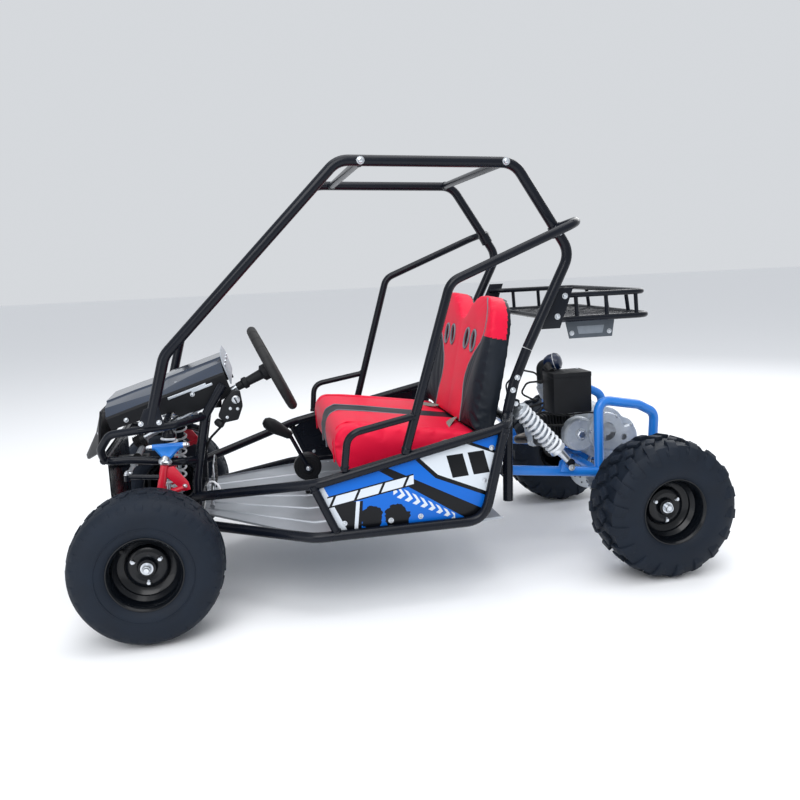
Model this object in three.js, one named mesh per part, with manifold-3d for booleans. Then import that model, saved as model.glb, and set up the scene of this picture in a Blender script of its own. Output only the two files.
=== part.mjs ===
// Two-seat off-road kart: welded tube frame with a roll cage, bench seat, double-wishbone front
// suspension, rack steering and a rear swing arm that carries the engine and the live axle.
// Millimetres. +X is forward, +Y is the driver's left, +Z is up.
// Pieces are laid out from a point on the ground under the front axle; the outer group moves that
// point so that the origin lies at the middle of the kart's footprint.
import * as THREE from 'three';
import { mergeVertices } from 'three/addons/utils/BufferGeometryUtils.js';
import { ConvexGeometry } from 'three/addons/geometries/ConvexGeometry.js';
import Module from 'manifold-3d';

const wasm = await Module();
wasm.setup();

// ---- driving dimensions ----
const FRONT_AXLE_X = 721.5;
const WHEELBASE = 1448;
const WELD_GAP = 0.4;

const CAGE_R = 15;
const RAIL_R = 14;
const HOOP_R = 12.5;
const BRACE_R = 11;
const ARMREST_R = 10;
const RACK_R = 8;
const BEND = 70;
const TIGHT_BEND = 38;
const BEND_STEP = Math.PI / 6;
const TUBE_SIDES = 8;

const CAGE_Y = 343;
const SIDE_Y = 460;
const PANEL_Y = 451.5;
const PANEL_THICK = 2.5;
const UPRIGHT_Y = 228;
const ROOF_FRONT = [-617, 1209];
const ROOF_REAR = [-1019, 1199];

const WHEEL_SIDES = 28;
const RIM_SIDES = 16;
const FRONT_WHEEL = { x: 0, y: 438, radius: 197, half: 88 };
const REAR_WHEEL = { x: -WHEELBASE, y: 418, radius: 203, half: 96 };
const BEAD_R = 90;
const SPINDLE_R = 10;
const HUB_BORE_R = 11;
const AXLE_R = 12.5;

const KINGPIN_Y = 308;
const KINGPIN_TOP = [-55, 450];
const KINGPIN_FOOT = [9, 160];
const LOWER_PIVOT = [150, 190];
const UPPER_PIVOT = [258, 466];
const TIE_X = 50;
const TIE_Z = 401;
const RACK_END_Y = 138;
const FRONT_SHOCK_TOP = [-62, 215, 518];
const FRONT_SHOCK_FOOT = [-35, 245, 192];
const REAR_SHOCK_TOP = [-1037, 300, 521];
const REAR_SHOCK_FOOT = [-1214, 300, 324];
const SWING_PIVOT = [-1016, 306];

const STEER_HUB = [-357, 170, 652];
const STEER_AXIS = [-0.906, 0, 0.4233];
const STEER_WHEEL_R = 121;
const STEER_GRIP_R = 13;
const SHAFT_R = 9;

// ---- finishes: colour, roughness, metalness ----
const FINISH = {
  frame: ['#15181d', 0.3, 0.5],
  blue: ['#2a7fd0', 0.35, 0.3],
  crimson: ['#e6234e', 0.7, 0],
  hood: ['#1b3350', 0.25, 0.4],
  dash: ['#9aa3ad', 0.45, 0.4],
  plastic: ['#16181b', 0.6, 0],
  rubber: ['#22262c', 0.85, 0],
  tyre: ['#262b33', 0.85, 0],
  floor: ['#9ba2ab', 0.4, 0.8],
  panel: ['#2f7fd6', 0.35, 0],
  steel: ['#c4c8cc', 0.3, 1],
  rim: ['#14161a', 0.35, 0.6],
  alloy: ['#a9adb2', 0.4, 0.9],
  knuckle: ['#d1122c', 0.4, 0.3],
};

const v = (x, y, z) => new THREE.Vector3(x, y, z);
const vec = (triple) => v(triple[0], triple[1], triple[2]);
const along = (from, to) => to.clone().sub(from).normalize();

// ---- solids: join, cut and clean ----
function toSolid(geometry) {
  const bare = geometry.clone();
  bare.deleteAttribute('normal');
  bare.deleteAttribute('uv');
  const merged = mergeVertices(bare, 1e-3);
  const corners = Array.from(merged.index.array);
  const kept = [];
  for (let i = 0; i < corners.length; i += 3) {
    const [a, b, c] = corners.slice(i, i + 3);
    if (a !== b && b !== c && c !== a) kept.push(a, b, c);
  }
  const mesh = new wasm.Mesh({
    numProp: 3,
    vertProperties: new Float32Array(merged.attributes.position.array),
    triVerts: new Uint32Array(kept),
  });
  return new wasm.Manifold(mesh);
}

function toGeometry(solid) {
  const mesh = solid.getMesh();
  const geometry = new THREE.BufferGeometry();
  geometry.setAttribute('position', new THREE.BufferAttribute(mesh.vertProperties, 3));
  geometry.setIndex(new THREE.BufferAttribute(mesh.triVerts, 1));
  geometry.computeVertexNormals();
  return geometry;
}

function weld(...parts) {
  const joined = parts.map(toSolid).reduce((whole, part) => whole.add(part));
  return toGeometry(joined);
}

function cut(body, ...tools) {
  const left = tools.map(toSolid).reduce((rest, tool) => rest.subtract(tool), toSolid(body));
  return toGeometry(left);
}

function common(first, second) {
  return toGeometry(toSolid(first).intersect(toSolid(second)));
}

// ---- tubes: straight runs joined by round bends ----
class BentPath extends THREE.Curve {
  constructor(stations) {
    super();
    this.stations = stations;
  }

  station(u) {
    return this.stations[Math.round(u * (this.stations.length - 1))];
  }

  getPoint(u, target = v(0, 0, 0)) {
    return target.copy(this.station(u).point);
  }

  getPointAt(u, target = v(0, 0, 0)) {
    return this.getPoint(u, target);
  }

  getTangentAt(u, target = v(0, 0, 0)) {
    return target.copy(this.station(u).tangent);
  }
}

function bendStations(before, corner, after, bendRadius) {
  const incoming = along(before, corner);
  const outgoing = along(corner, after);
  const turn = incoming.angleTo(outgoing);
  const reach = 0.45 * Math.min(corner.distanceTo(before), corner.distanceTo(after));
  const setback = Math.min(bendRadius * Math.tan(turn / 2), reach);
  const radius = setback / Math.tan(turn / 2);
  const inward = outgoing.clone().sub(incoming).normalize();
  const centre = corner.clone().addScaledVector(inward, radius / Math.cos(turn / 2));
  const axis = incoming.clone().cross(outgoing).normalize();
  const start = corner.clone().addScaledVector(incoming, -setback).sub(centre);
  const steps = Math.max(2, Math.ceil(turn / BEND_STEP));
  const stations = [];
  for (let i = 0; i <= steps; i += 1) {
    const angle = (turn * i) / steps;
    const point = start.clone().applyAxisAngle(axis, angle).add(centre);
    stations.push({ point, tangent: incoming.clone().applyAxisAngle(axis, angle) });
  }
  return stations;
}

function tube(corners, radius, bendRadius = BEND, sides = TUBE_SIDES) {
  const points = corners.map(vec);
  const last = points.length - 1;
  const stations = [{ point: points[0], tangent: along(points[0], points[1]) }];
  for (let i = 1; i < last; i += 1) {
    stations.push(...bendStations(points[i - 1], points[i], points[i + 1], bendRadius));
  }
  stations.push({ point: points[last], tangent: along(points[last - 1], points[last]) });
  return new THREE.ExtrudeGeometry(ring(radius, sides), {
    extrudePath: new BentPath(stations),
    steps: stations.length - 1,
    bevelEnabled: false,
  });
}

function ring(radius, sides) {
  const points = [];
  for (let i = 0; i < sides; i += 1) {
    const angle = ((i + 0.5) * 2 * Math.PI) / sides;
    points.push(new THREE.Vector2(radius * Math.cos(angle), radius * Math.sin(angle)));
  }
  return new THREE.Shape(points);
}

function rod(from, to, radius, sides = TUBE_SIDES) {
  return tube([from, to], radius, BEND, sides);
}

// A block between two corners, along the axes.
function block(low, high) {
  const size = high.map((value, i) => value - low[i]);
  const box = new THREE.BoxGeometry(...size);
  return box.translate(...low.map((value, i) => value + size[i] / 2));
}

// A plate whose outline is drawn in the plane of two directions and thickened along their cross.
function plate(outline, thickness, origin, across, upward) {
  const shape = new THREE.Shape(outline.map(([a, b]) => new THREE.Vector2(a, b)));
  const geometry = new THREE.ExtrudeGeometry(shape, { depth: thickness, bevelEnabled: false });
  const x = vec(across).normalize();
  const y = vec(upward).normalize();
  const basis = new THREE.Matrix4().makeBasis(x, y, x.clone().cross(y));
  return geometry.applyMatrix4(basis.setPosition(vec(origin)));
}

// A turned solid about a line: the profile lists [radius, distance along the line].
function turned(profile, sides, origin, direction) {
  const points = profile.map(([r, h]) => new THREE.Vector2(r, h));
  if (THREE.ShapeUtils.isClockWise(points)) points.reverse();
  const onAxis = points[0].x === 0;
  if (!onAxis) points.push(points[0].clone());
  const geometry = new THREE.LatheGeometry(points, sides, Math.PI / sides);
  const turn = new THREE.Quaternion().setFromUnitVectors(v(0, 1, 0), vec(direction).normalize());
  geometry.applyQuaternion(turn);
  return geometry.translate(...origin);
}

// ---- scene graph ----
const kart = new THREE.Group();
kart.position.x = FRONT_AXLE_X;

function piece(name, geometry, finish) {
  const [color, roughness, metalness] = FINISH[finish];
  const material = new THREE.MeshStandardMaterial({ color, roughness, metalness });
  const mesh = new THREE.Mesh(toGeometry(toSolid(geometry)), material);
  mesh.name = name;
  kart.add(mesh);
}

const SIDES = [['left', 1], ['right', -1]];
const mirrored = (points, s) => points.map(([x, y, z]) => [x, s * y, z]);

// ---- roll cage ----
const cagePath = (s) => mirrored([
  [-26, 345, 546], [-76, 345, 724], [-557, CAGE_Y, 1212], [-1047, CAGE_Y, 1197],
  [-1206, CAGE_Y, 945], [-1072, CAGE_Y, 680],
], s);
const cageTube = (s, extra = 0) => tube(cagePath(s), CAGE_R + extra);

// The upper run of the front loop, which the cage's front foot stands on.
const loopPath = (s) => mirrored([
  [-161, UPRIGHT_Y, 537], [-84, 320, 535], [-4, 345, 533], [82, 326, 523],
  [112, 300, 480], [108, 270, 440], [42, 264, 438], [-92, 264, 421], [-128, UPRIGHT_Y, 414],
], s);
const loopTube = (s, extra = 0) => tube(loopPath(s), BRACE_R + extra, TIGHT_BEND);

function roofBar([x, z]) {
  const bar = rod([x, -CAGE_Y, z], [x, CAGE_Y, z], HOOP_R);
  return cut(bar, cageTube(1, WELD_GAP), cageTube(-1, WELD_GAP));
}

function sideHoop(s) {
  const hoop = tube(mirrored([
    [-682, SIDE_Y, 434], [-818, 479, 882], [-1188, 478, 1032], [-1222, 420, 1042], [-1160, CAGE_Y, 1014],
  ], s), HOOP_R, 55);
  const armrest = tube(mirrored([
    [-712, 468, 535], [-528, 482, 503], [-517, 463, 404],
  ], s), ARMREST_R, 45);
  return cut(weld(hoop, armrest), cageTube(s, WELD_GAP), topRail(s, WELD_GAP));
}

// ---- side frame: top rail, sill and brace ----
const topRail = (s, extra = 0) => tube(mirrored([
  [-116, UPRIGHT_Y, 308], [-445, SIDE_Y, 373], [-966, SIDE_Y, 483], [-1008, 350, 494],
], s), RAIL_R + extra, 60);

const sill = (s) => tube(mirrored([
  [-119, UPRIGHT_Y, 228], [-430, SIDE_Y, 227], [-896, SIDE_Y, 227], [-961, SIDE_Y, 480],
], s), RAIL_R);

function sideFrame(s) {
  const brace = rod([-432, s * SIDE_Y, 368], [-492, s * SIDE_Y, 226], BRACE_R);
  const welded = weld(topRail(s), sill(s), brace);
  const lowCross = crossTube(-119, UPRIGHT_Y, 230, RAIL_R + WELD_GAP);
  return cut(welded, uprightTube(s, WELD_GAP), rearLeg(s, WELD_GAP), lowCross);
}

function sidePanel(s) {
  const outline = [
    [-440, 352], [-498, 226], [-892, 226], [-915, 246], [-962, 470], [-700, 424], [-500, 385],
  ];
  const outer = s > 0 ? PANEL_Y + PANEL_THICK : -PANEL_Y;
  const sheet = plate(outline, PANEL_THICK, [0, outer, 0], [1, 0, 0], [0, 0, 1]);
  const grown = RAIL_R + WELD_GAP;
  const braceLine = mirrored([[-432, SIDE_Y, 368], [-492, SIDE_Y, 226]], s);
  const tools = [
    topRail(s, WELD_GAP),
    tube(mirrored([[-430, SIDE_Y, 227], [-896, SIDE_Y, 227], [-961, SIDE_Y, 480]], s), grown),
    tube(braceLine, BRACE_R + WELD_GAP),
  ];
  const pieces = toSolid(cut(sheet, ...tools)).decompose();
  pieces.sort((a, b) => b.volume() - a.volume());
  return toGeometry(pieces[0]);
}

// ---- front frame ----
const uprightTube = (s, extra = 0) => tube(mirrored([
  [-119, UPRIGHT_Y, 205], [-126, UPRIGHT_Y, 357], [-161, UPRIGHT_Y, 537], [-216, UPRIGHT_Y, 622],
], s), HOOP_R + extra, 60);

function crossTube(x, halfWidth, z, radius) {
  return rod([x, -halfWidth, z], [x, halfWidth, z], radius);
}

function frontFrame() {
  const keel = (s) => tube(mirrored([
    [-119, 118, 230], [-70, 118, 205], [110, 118, 205],
  ], s), RAIL_R, TIGHT_BEND);
  const face = plate(
    [[-140, 195], [140, 195], [205, 330], [205, 446], [-205, 446], [-205, 330]],
    4, [108, 0, 0], [0, 1, 0], [0, 0, 1],
  );
  const rackShelf = block([28, -60, TIE_Z - 27], [110, 60, TIE_Z - 15]);
  const bearing = block([-208, 146, 552], [-172, 194, 594]);
  const frame = weld(
    uprightTube(1), uprightTube(-1), loopTube(1), loopTube(-1), keel(1), keel(-1), face,
    rackShelf, bearing,
    crossTube(-119, UPRIGHT_Y, 230, RAIL_R),
    crossTube(-190, UPRIGHT_Y, 581, BRACE_R),
    crossTube(-62, 330, 541, 9),
    crossTube(108, 285, 446, BRACE_R),
  );
  return cut(frame, steeringShaft(1.2));
}

// ---- rear frame that holds the seat and the swing arm ----
const rearLeg = (s, extra = 0) => tube(mirrored([
  [-1071.2, CAGE_Y, 678.4], [-1030, CAGE_Y, 585], [-1008, CAGE_Y, 500], [-1003, CAGE_Y, 240],
], s), CAGE_R + extra);

function seatFrame() {
  const bars = [];
  for (const [, s] of SIDES) {
    bars.push(rearLeg(s));
    bars.push(rod([-985, s * 190, 332], [-560, s * 190, 332], BRACE_R));
    bars.push(rod([-1014, s * 344, 306], [-1014, s * 284, 306], ARMREST_R));
    bars.push(block(
      [-1050, Math.min(s * 319, s * 334), 507], [-1006, Math.max(s * 319, s * 334), 535],
    ));
  }
  const seatBarHalf = 445;
  return weld(
    ...bars,
    crossTube(-985, CAGE_Y, 332, 13),
    crossTube(-1012, CAGE_Y, 478, 12),
    crossTube(-925, seatBarHalf, 332, 13),
    crossTube(-560, seatBarHalf, 332, 13),
  );
}

function floorPan() {
  const folded = plate(
    [[-124, 246], [-124, 243], [-440, 214], [-958, 214], [-958, 217], [-440, 217]].reverse(),
    2 * SIDE_Y, [0, SIDE_Y, 0], [1, 0, 0], [0, 0, 1],
  );
  const outline = [
    [-136, 200], [-136, -200], [-445, -440], [-890, -440], [-958, -430], [-958, 430], [-890, 440],
    [-445, 440],
  ];
  const prism = plate(outline.reverse(), 120, [0, 0, 180], [1, 0, 0], [0, 1, 0]);
  return cut(
    common(folded, prism), uprightTube(1, WELD_GAP), uprightTube(-1, WELD_GAP),
    grownSill(1), grownSill(-1),
  );
}

const grownSill = (s) => tube(mirrored([
  [-119, UPRIGHT_Y, 228], [-430, SIDE_Y, 227], [-896, SIDE_Y, 227], [-961, SIDE_Y, 480],
], s), RAIL_R + WELD_GAP);

// ---- bodywork ----
const HOOD_REAR = [-212, 0, 680];
const HOOD_DIRECTION = v(115 - HOOD_REAR[0], 0, 575 - HOOD_REAR[2]);
const HOOD_LENGTH = HOOD_DIRECTION.length();
const HOOD_UP = [-HOOD_DIRECTION.z, 0, HOOD_DIRECTION.x];

function hood() {
  const arch = [
    [-200, -68], [-205, -22], [-128, 4], [128, 4], [205, -22], [200, -68],
    [195, -68], [200, -26], [126, -1], [-126, -1], [-200, -26], [-195, -68],
  ].reverse();
  return plate(arch, HOOD_LENGTH, HOOD_REAR, [0, 1, 0], HOOD_UP);
}

function noseCowl() {
  const edge = [[120, 196, 566], [121, 196, 545], [140, 196, 452], [187, 100, 417]];
  const points = edge.flatMap(([x, y, z]) => [v(x, y, z), v(x, -y, z)]);
  points.push(v(208, 0, 408));
  points.push(v(200, 0, 404));
  return new ConvexGeometry(points);
}

function dashPanel() {
  const outline = [[-190, -66], [190, -66], [196, 0], [120, 22], [-120, 22], [-196, 0]];
  return plate(outline, 3, [-220, 0, 680], [0, 1, 0], HOOD_UP);
}

function switchBox() {
  return block([-266, 204, 520], [-232, 236, 600]);
}

function ignitionKey() {
  const barrel = rod([-249, 236.6, 578], [-249, 243, 578], 11, 12);
  const bow = block([-251, 242, 568], [-247, 262, 588]);
  return weld(barrel, bow);
}

// ---- seat ----
function seatCushion() {
  const side = [
    [-515, 372], [-511, 470], [-545, 498], [-640, 486], [-930, 438], [-935, 352], [-560, 350],
  ];
  const width = 640;
  return plate(side, width, [0, width / 2, 0], [1, 0, 0], [0, 0, 1]);
}

function seatBack() {
  const half = [
    [322, 0], [322, 250], [306, 322], [262, 362], [190, 382], [110, 372], [50, 345], [0, 308],
  ];
  const outline = half.concat(half.slice(0, -1).reverse().map(([a, b]) => [-a, b]));
  return plate(outline, 80, [-984, 0, 444], [0, 1, 0], [-0.207, 0, 0.978]);
}

// ---- luggage rack ----
function rackBasket() {
  const loop = (rearX, z, radius) => tube([
    [-1172, 318, z], [-1200, 285, z], [rearX, 285, z], [rearX, -285, z], [-1200, -285, z],
    [-1172, -318, z],
  ], radius, 45);
  const parts = [
    loop(-1470, 822, RACK_R),
    loop(-1482, 752, RACK_R + 1),
    block([-1480, -286, 750], [-1196, 286, 753]),
    crossTube(-1196, 288, 752, RACK_R),
  ];
  for (const [, s] of SIDES) {
    for (const x of [-1250, -1345, -1440]) {
      parts.push(rod([x, s * 285, 752], [x, s * 285, 822], 6, 8));
    }
    const inner = s > 0 ? 326 : -321;
    const bracket = [[-1118, 730], [-1172, 846], [-1222, 846], [-1180, 730]];
    parts.push(plate(bracket.reverse(), 5, [0, inner, 0], [1, 0, 0], [0, 0, 1]));
    parts.push(block(
      [-1215, Math.min(s * 316, s * 323), 744], [-1160, Math.max(s * 316, s * 323), 760],
    ));
  }
  for (const y of [-150, 0, 150]) {
    parts.push(rod([-1478, y, 752], [-1478, y, 790], 6, 8));
    parts.push(rod([-1478, y, 789], [-1470, y, 822], 6, 8));
  }
  return weld(...parts);
}

// ---- steering ----
function steerPoint(distance) {
  const hub = vec(STEER_HUB).addScaledVector(vec(STEER_AXIS), -distance);
  return [hub.x, hub.y, hub.z];
}

function steeringShaft(extra = 0) {
  return rod(steerPoint(14.5), steerPoint(432), SHAFT_R + extra, 12);
}

function steeringWheel() {
  const grip = new THREE.TorusGeometry(STEER_WHEEL_R, STEER_GRIP_R, 7, 22);
  const hub = new THREE.CylinderGeometry(44, 34, 26, 12).rotateX(Math.PI / 2);
  const spokes = [0, Math.PI, Math.PI / 2].map((angle) => {
    const spoke = new THREE.BoxGeometry(90, 26, 7).translate(75, 0, 0);
    return spoke.rotateZ(angle);
  });
  const wheel = weld(grip, hub, ...spokes);
  const across = v(0, 1, 0);
  const axis = vec(STEER_AXIS);
  const basis = new THREE.Matrix4().makeBasis(across, axis.clone().cross(across), axis);
  return wheel.applyMatrix4(basis.setPosition(vec(STEER_HUB)));
}

function steeringRack() {
  return rod([TIE_X, -RACK_END_Y + 8, TIE_Z], [TIE_X, RACK_END_Y - 8, TIE_Z], SHAFT_R, 12);
}

function tieRod(s) {
  const shank = rod([TIE_X, s * (RACK_END_Y + 2), TIE_Z], [TIE_X, s * 284, TIE_Z], 6, 8);
  const innerY = s * (RACK_END_Y + 1);
  const inner = rod([TIE_X - 8, innerY, TIE_Z], [TIE_X + 8, innerY, TIE_Z], 9, 10);
  const outer = rod([TIE_X - 9, s * 280, TIE_Z], [TIE_X + 9, s * 280, TIE_Z], 8, 8);
  return weld(shank, inner, outer);
}

// ---- front suspension ----
function lowerArm(s) {
  const [y, z] = LOWER_PIVOT;
  const ball = [KINGPIN_FOOT[0], s * (KINGPIN_Y - 16), KINGPIN_FOOT[1] + 3];
  return weld(
    rod([-88, s * y, z], [76, s * y, z], 10),
    rod([-72, s * y, z], ball, 9),
    rod([64, s * y, z], ball, 9),
    rod([-62, s * 240, 173], [22, s * 240, 173], 7, 8),
  );
}

function ballJoint(s) {
  return turned(
    [[0, -13], [9, -11], [12, 0], [10, 8], [6, 12], [0, 12]], 12,
    [KINGPIN_FOOT[0], s * (KINGPIN_Y + 6), KINGPIN_FOOT[1] - 2], [0, 0, 1],
  );
}

function knuckle(s) {
  const at = (z) => {
    const share = (KINGPIN_TOP[1] - z) / (KINGPIN_TOP[1] - KINGPIN_FOOT[1]);
    const x = KINGPIN_TOP[0] + share * (KINGPIN_FOOT[0] - KINGPIN_TOP[0]);
    return [x, s * KINGPIN_Y, z];
  };
  const spindleEnd = s * (FRONT_WHEEL.y + 34);
  const gusset = plate(
    [[-60, 420], [-46, 400], [-90, 352], [-104, 352], [-104, 372], [-72, 420]],
    8, [0, s * KINGPIN_Y + 4, 0], [1, 0, 0], [0, 0, 1],
  );
  const stem = rod(at(426), at(178), 11);
  const lug = rod([-100, s * KINGPIN_Y, 362], at(340), 8, 8);
  const arm = tube([at(TIE_Z - 9), [0, s * 306, TIE_Z - 5], [TIE_X, s * 302, TIE_Z]], 7, TIGHT_BEND, 8);
  const pad = rod([TIE_X, s * 302, TIE_Z - 12], [TIE_X, s * 302, TIE_Z + 7], 8, 10);
  const spindle = rod([0, s * 300, 197], [0, spindleEnd, 197], SPINDLE_R, 12);
  return weld(stem, lug, gusset, arm, pad, spindle);
}

function upperArm(s) {
  const [y, z] = UPPER_PIVOT;
  const outline = [[-112, 0], [-2, 0], [-2, 10], [-38, 30], [-44, 52], [-66, 52], [-72, 30], [-112, 10]];
  const slope = [0, s * (KINGPIN_Y - y), KINGPIN_TOP[1] - z];
  const arm = plate(s > 0 ? outline : outline.reverse(), 8, [0, s * y, z], [1, 0, 0], slope);
  const pivot = rod([-116, s * y, z], [2, s * y, z], 8, 10);
  const stud = rod([-55, s * KINGPIN_Y, 438], [-55, s * KINGPIN_Y, 455], 10, 10);
  return weld(arm, pivot, stud);
}

// ---- dampers: an upper body with a bore, and a rod that slides in it ----
const REAR_DAMPER = { radius: 17, body: 150, boreTop: 60, rodTop: 95, rod: 6, eye: 12, spring: 28 };
const FRONT_DAMPER = { radius: 19, body: 205, boreTop: 110, rodTop: 150, rod: 6, eye: 11, spring: 24 };

function damperBody(top, foot, size) {
  const down = along(vec(top), vec(foot));
  return turned([
    [0, 8], [size.radius, 8], [size.radius, size.body], [8, size.body], [8, size.boreTop],
    [0, size.boreTop],
  ], 14, top, [down.x, down.y, down.z]);
}

function eye(centre, axis, size) {
  const half = vec(axis).multiplyScalar(11);
  const at = vec(centre);
  return rod(at.clone().sub(half).toArray(), at.clone().add(half).toArray(), size.eye, 12);
}

function damperRod(top, foot, size) {
  const line = vec(foot).sub(vec(top));
  const start = vec(top).addScaledVector(line.clone().normalize(), size.rodTop);
  return rod(start.toArray(), foot, size.rod, 8);
}

function springSleeve(top, foot, from, to, size) {
  const down = along(vec(top), vec(foot));
  const bore = size.radius + 1.5;
  return turned(
    [[bore, from], [size.spring, from], [size.spring, to], [bore, to]], 14,
    top, [down.x, down.y, down.z],
  );
}

// ---- wheels ----
function tyre(wheel) {
  const { radius, half } = wheel;
  const tread = radius / Math.cos(Math.PI / WHEEL_SIDES);
  const profile = [
    [BEAD_R, -half + 20], [BEAD_R + 35, -half + 3], [tread - 42, -half], [tread - 14, -half + 9],
    [tread, -half + 32], [tread, half - 32], [tread - 14, half - 9], [tread - 42, half],
    [BEAD_R + 35, half - 3], [BEAD_R, half - 20],
  ];
  return turned(profile, WHEEL_SIDES, [wheel.x, 0, radius], [0, 1, 0]);
}

function rim(wheel, s) {
  const lip = wheel.half - 12;
  const profile = [
    [BEAD_R - 1, -lip], [BEAD_R + 6, -lip - 2], [BEAD_R - 6, -lip - 4], [BEAD_R - 6, 8],
    [40, 26], [26, -18], [HUB_BORE_R, -18], [HUB_BORE_R, 40], [40, 34], [BEAD_R - 6, 14],
    [BEAD_R - 6, lip + 4], [BEAD_R + 6, lip + 2], [BEAD_R - 1, lip],
  ];
  const geometry = turned(profile, RIM_SIDES, [0, 0, 0], [0, 1, 0]);
  if (s < 0) geometry.rotateZ(Math.PI);
  return geometry;
}

// ---- rear drive ----
function swingArm() {
  const [px, pz] = SWING_PIVOT;
  const parts = [crossTube(px, 276, pz, RAIL_R), crossTube(-1336, 226, 268, RAIL_R)];
  for (const [, s] of SIDES) {
    parts.push(rod([px, s * 250, pz], [-1338, s * 240, 268], RAIL_R + 1));
    parts.push(tube(mirrored([
      [-1338, 232, 262], [-1342, 222, 492], [-1483, 206, 464], [-1543, 196, 432],
      [-1540, 188, 290], [-1452, 186, 225],
    ], s), RAIL_R + 1, TIGHT_BEND));
    parts.push(rod([-1338, s * 234, 264], [-1448, s * 186, 216], RAIL_R));
    parts.push(rod([-1448, s * 168, 203], [-1448, s * 204, 203], 38, 16));
    parts.push(rod([-1214, s * 250, 296], [-1214, s * 280, 322], ARMREST_R));
  }
  const bore = rod([-1448, -215, 203], [-1448, 215, 203], AXLE_R + 1.2, 16);
  return cut(weld(...parts), bore);
}

function rearAxle() {
  const { x, y, radius } = REAR_WHEEL;
  const line = (from, to, r, sides) => rod([x, from, radius], [x, to, radius], r, sides);
  return weld(
    line(-y - 36, y + 36, SPINDLE_R, 12),
    line(-y + 26, y - 26, AXLE_R, 12),
    line(52, 58, 78, 18),
    line(-86, -82, 82, 18),
    line(40, 70, 24, 12),
    line(-98, -74, 24, 12),
  );
}

function engine() {
  const crankcase = rod([-1408, -118, 372], [-1408, 128, 372], 78, 14);
  const gearbox = rod([-1462, -60, 352], [-1462, 118, 352], 60, 16);
  const sump = block([-1430, -84, 296], [-1330, 84, 372]);
  const barrel = rod([-1350, 0, 372], [-1190, 0, 356], 46, 14);
  const fins = [-1215, -1240, -1265, -1290].map((x) => {
    return block([x - 4, -64, 298], [x + 4, 64, 416]);
  });
  const magneto = rod([-1404, 120, 372], [-1404, 150, 372], 62, 16);
  const carburettor = rod([-1270, 20, 440], [-1218, 60, 540], 20, 10);
  const manifold = rod([-1285, 0, 400], [-1268, 22, 450], 16, 10);
  const intake = tube([[-1222, 58, 532], [-1212, 70, 604], [-1252, 96, 622]], 26, 30);
  const exhaustPath = [[-1200, -20, 330], [-1170, -90, 316], [-1300, -140, 330], [-1440, -140, 346]];
  const exhaust = tube(exhaustPath, 14, 40);
  const silencer = rod([-1400, -140, 342], [-1516, -140, 356], 34, 12);
  return weld(
    crankcase, gearbox, sump, barrel, ...fins, magneto, carburettor, manifold, intake, exhaust,
    silencer,
  );
}

function airbox() {
  return block([-1322, 112, 453], [-1180, 206, 580]);
}

// ---- controls ----
function pedal(y) {
  const hinge = rod([-160, y - 26, 264], [-160, y + 26, 264], 6, 10);
  const stem = block([-168, y - 7, 262], [-160, y + 7, 360]);
  const pad = block([-178, y - 28, 318], [-170, y + 28, 392]);
  const back = block([-171, y - 7, 322], [-164, y + 7, 386]);
  return weld(hinge, stem, pad, back);
}

function shiftLever() {
  const hub = rod([-455, -6, 306], [-455, 8, 306], 14, 12);
  const stick = tube([[-455, 1, 306], [-424, 1, 396], [-392, 1, 428]], 5, 20, 8);
  const grip = turned(
    [[0, -8], [10, -6], [14, 30], [22, 62], [22, 78], [12, 92], [0, 94]], 10,
    [-404, 1, 416], [0.83, 0, 0.56],
  );
  return weld(hub, stick, grip);
}

function shifterHousing() {
  const drum = rod([-455, -44, 306], [-455, -7.5, 306], 44, 20);
  const foot = block([-486, -40, 218], [-443, -12, 290]);
  return weld(drum, foot);
}

// ---- assembly ----
piece('roof_bar_front', roofBar(ROOF_FRONT), 'frame');
piece('roof_bar_rear', roofBar(ROOF_REAR), 'frame');
piece('front_frame', frontFrame(), 'frame');
piece('seat_frame', seatFrame(), 'frame');
piece('floor_pan', floorPan(), 'floor');
piece('hood', hood(), 'hood');
piece('nose_cowl', noseCowl(), 'hood');
piece('dash_panel', dashPanel(), 'dash');
piece('switch_box', switchBox(), 'plastic');
piece('ignition_key', ignitionKey(), 'steel');
piece('seat_cushion', seatCushion(), 'crimson');
piece('seat_back', seatBack(), 'crimson');
piece('luggage_rack', rackBasket(), 'frame');
piece('steering_wheel', steeringWheel(), 'rubber');
piece('steering_shaft', steeringShaft(), 'steel');
piece('steering_rack', steeringRack(), 'steel');
piece('swing_arm', swingArm(), 'blue');
piece('rear_axle', rearAxle(), 'steel');
piece('engine', engine(), 'alloy');
piece('airbox', airbox(), 'plastic');
piece('brake_pedal', pedal(176), 'steel');
piece('throttle_pedal', pedal(96), 'steel');
piece('shift_lever', shiftLever(), 'plastic');
piece('shifter_housing', shifterHousing(), 'plastic');

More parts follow.
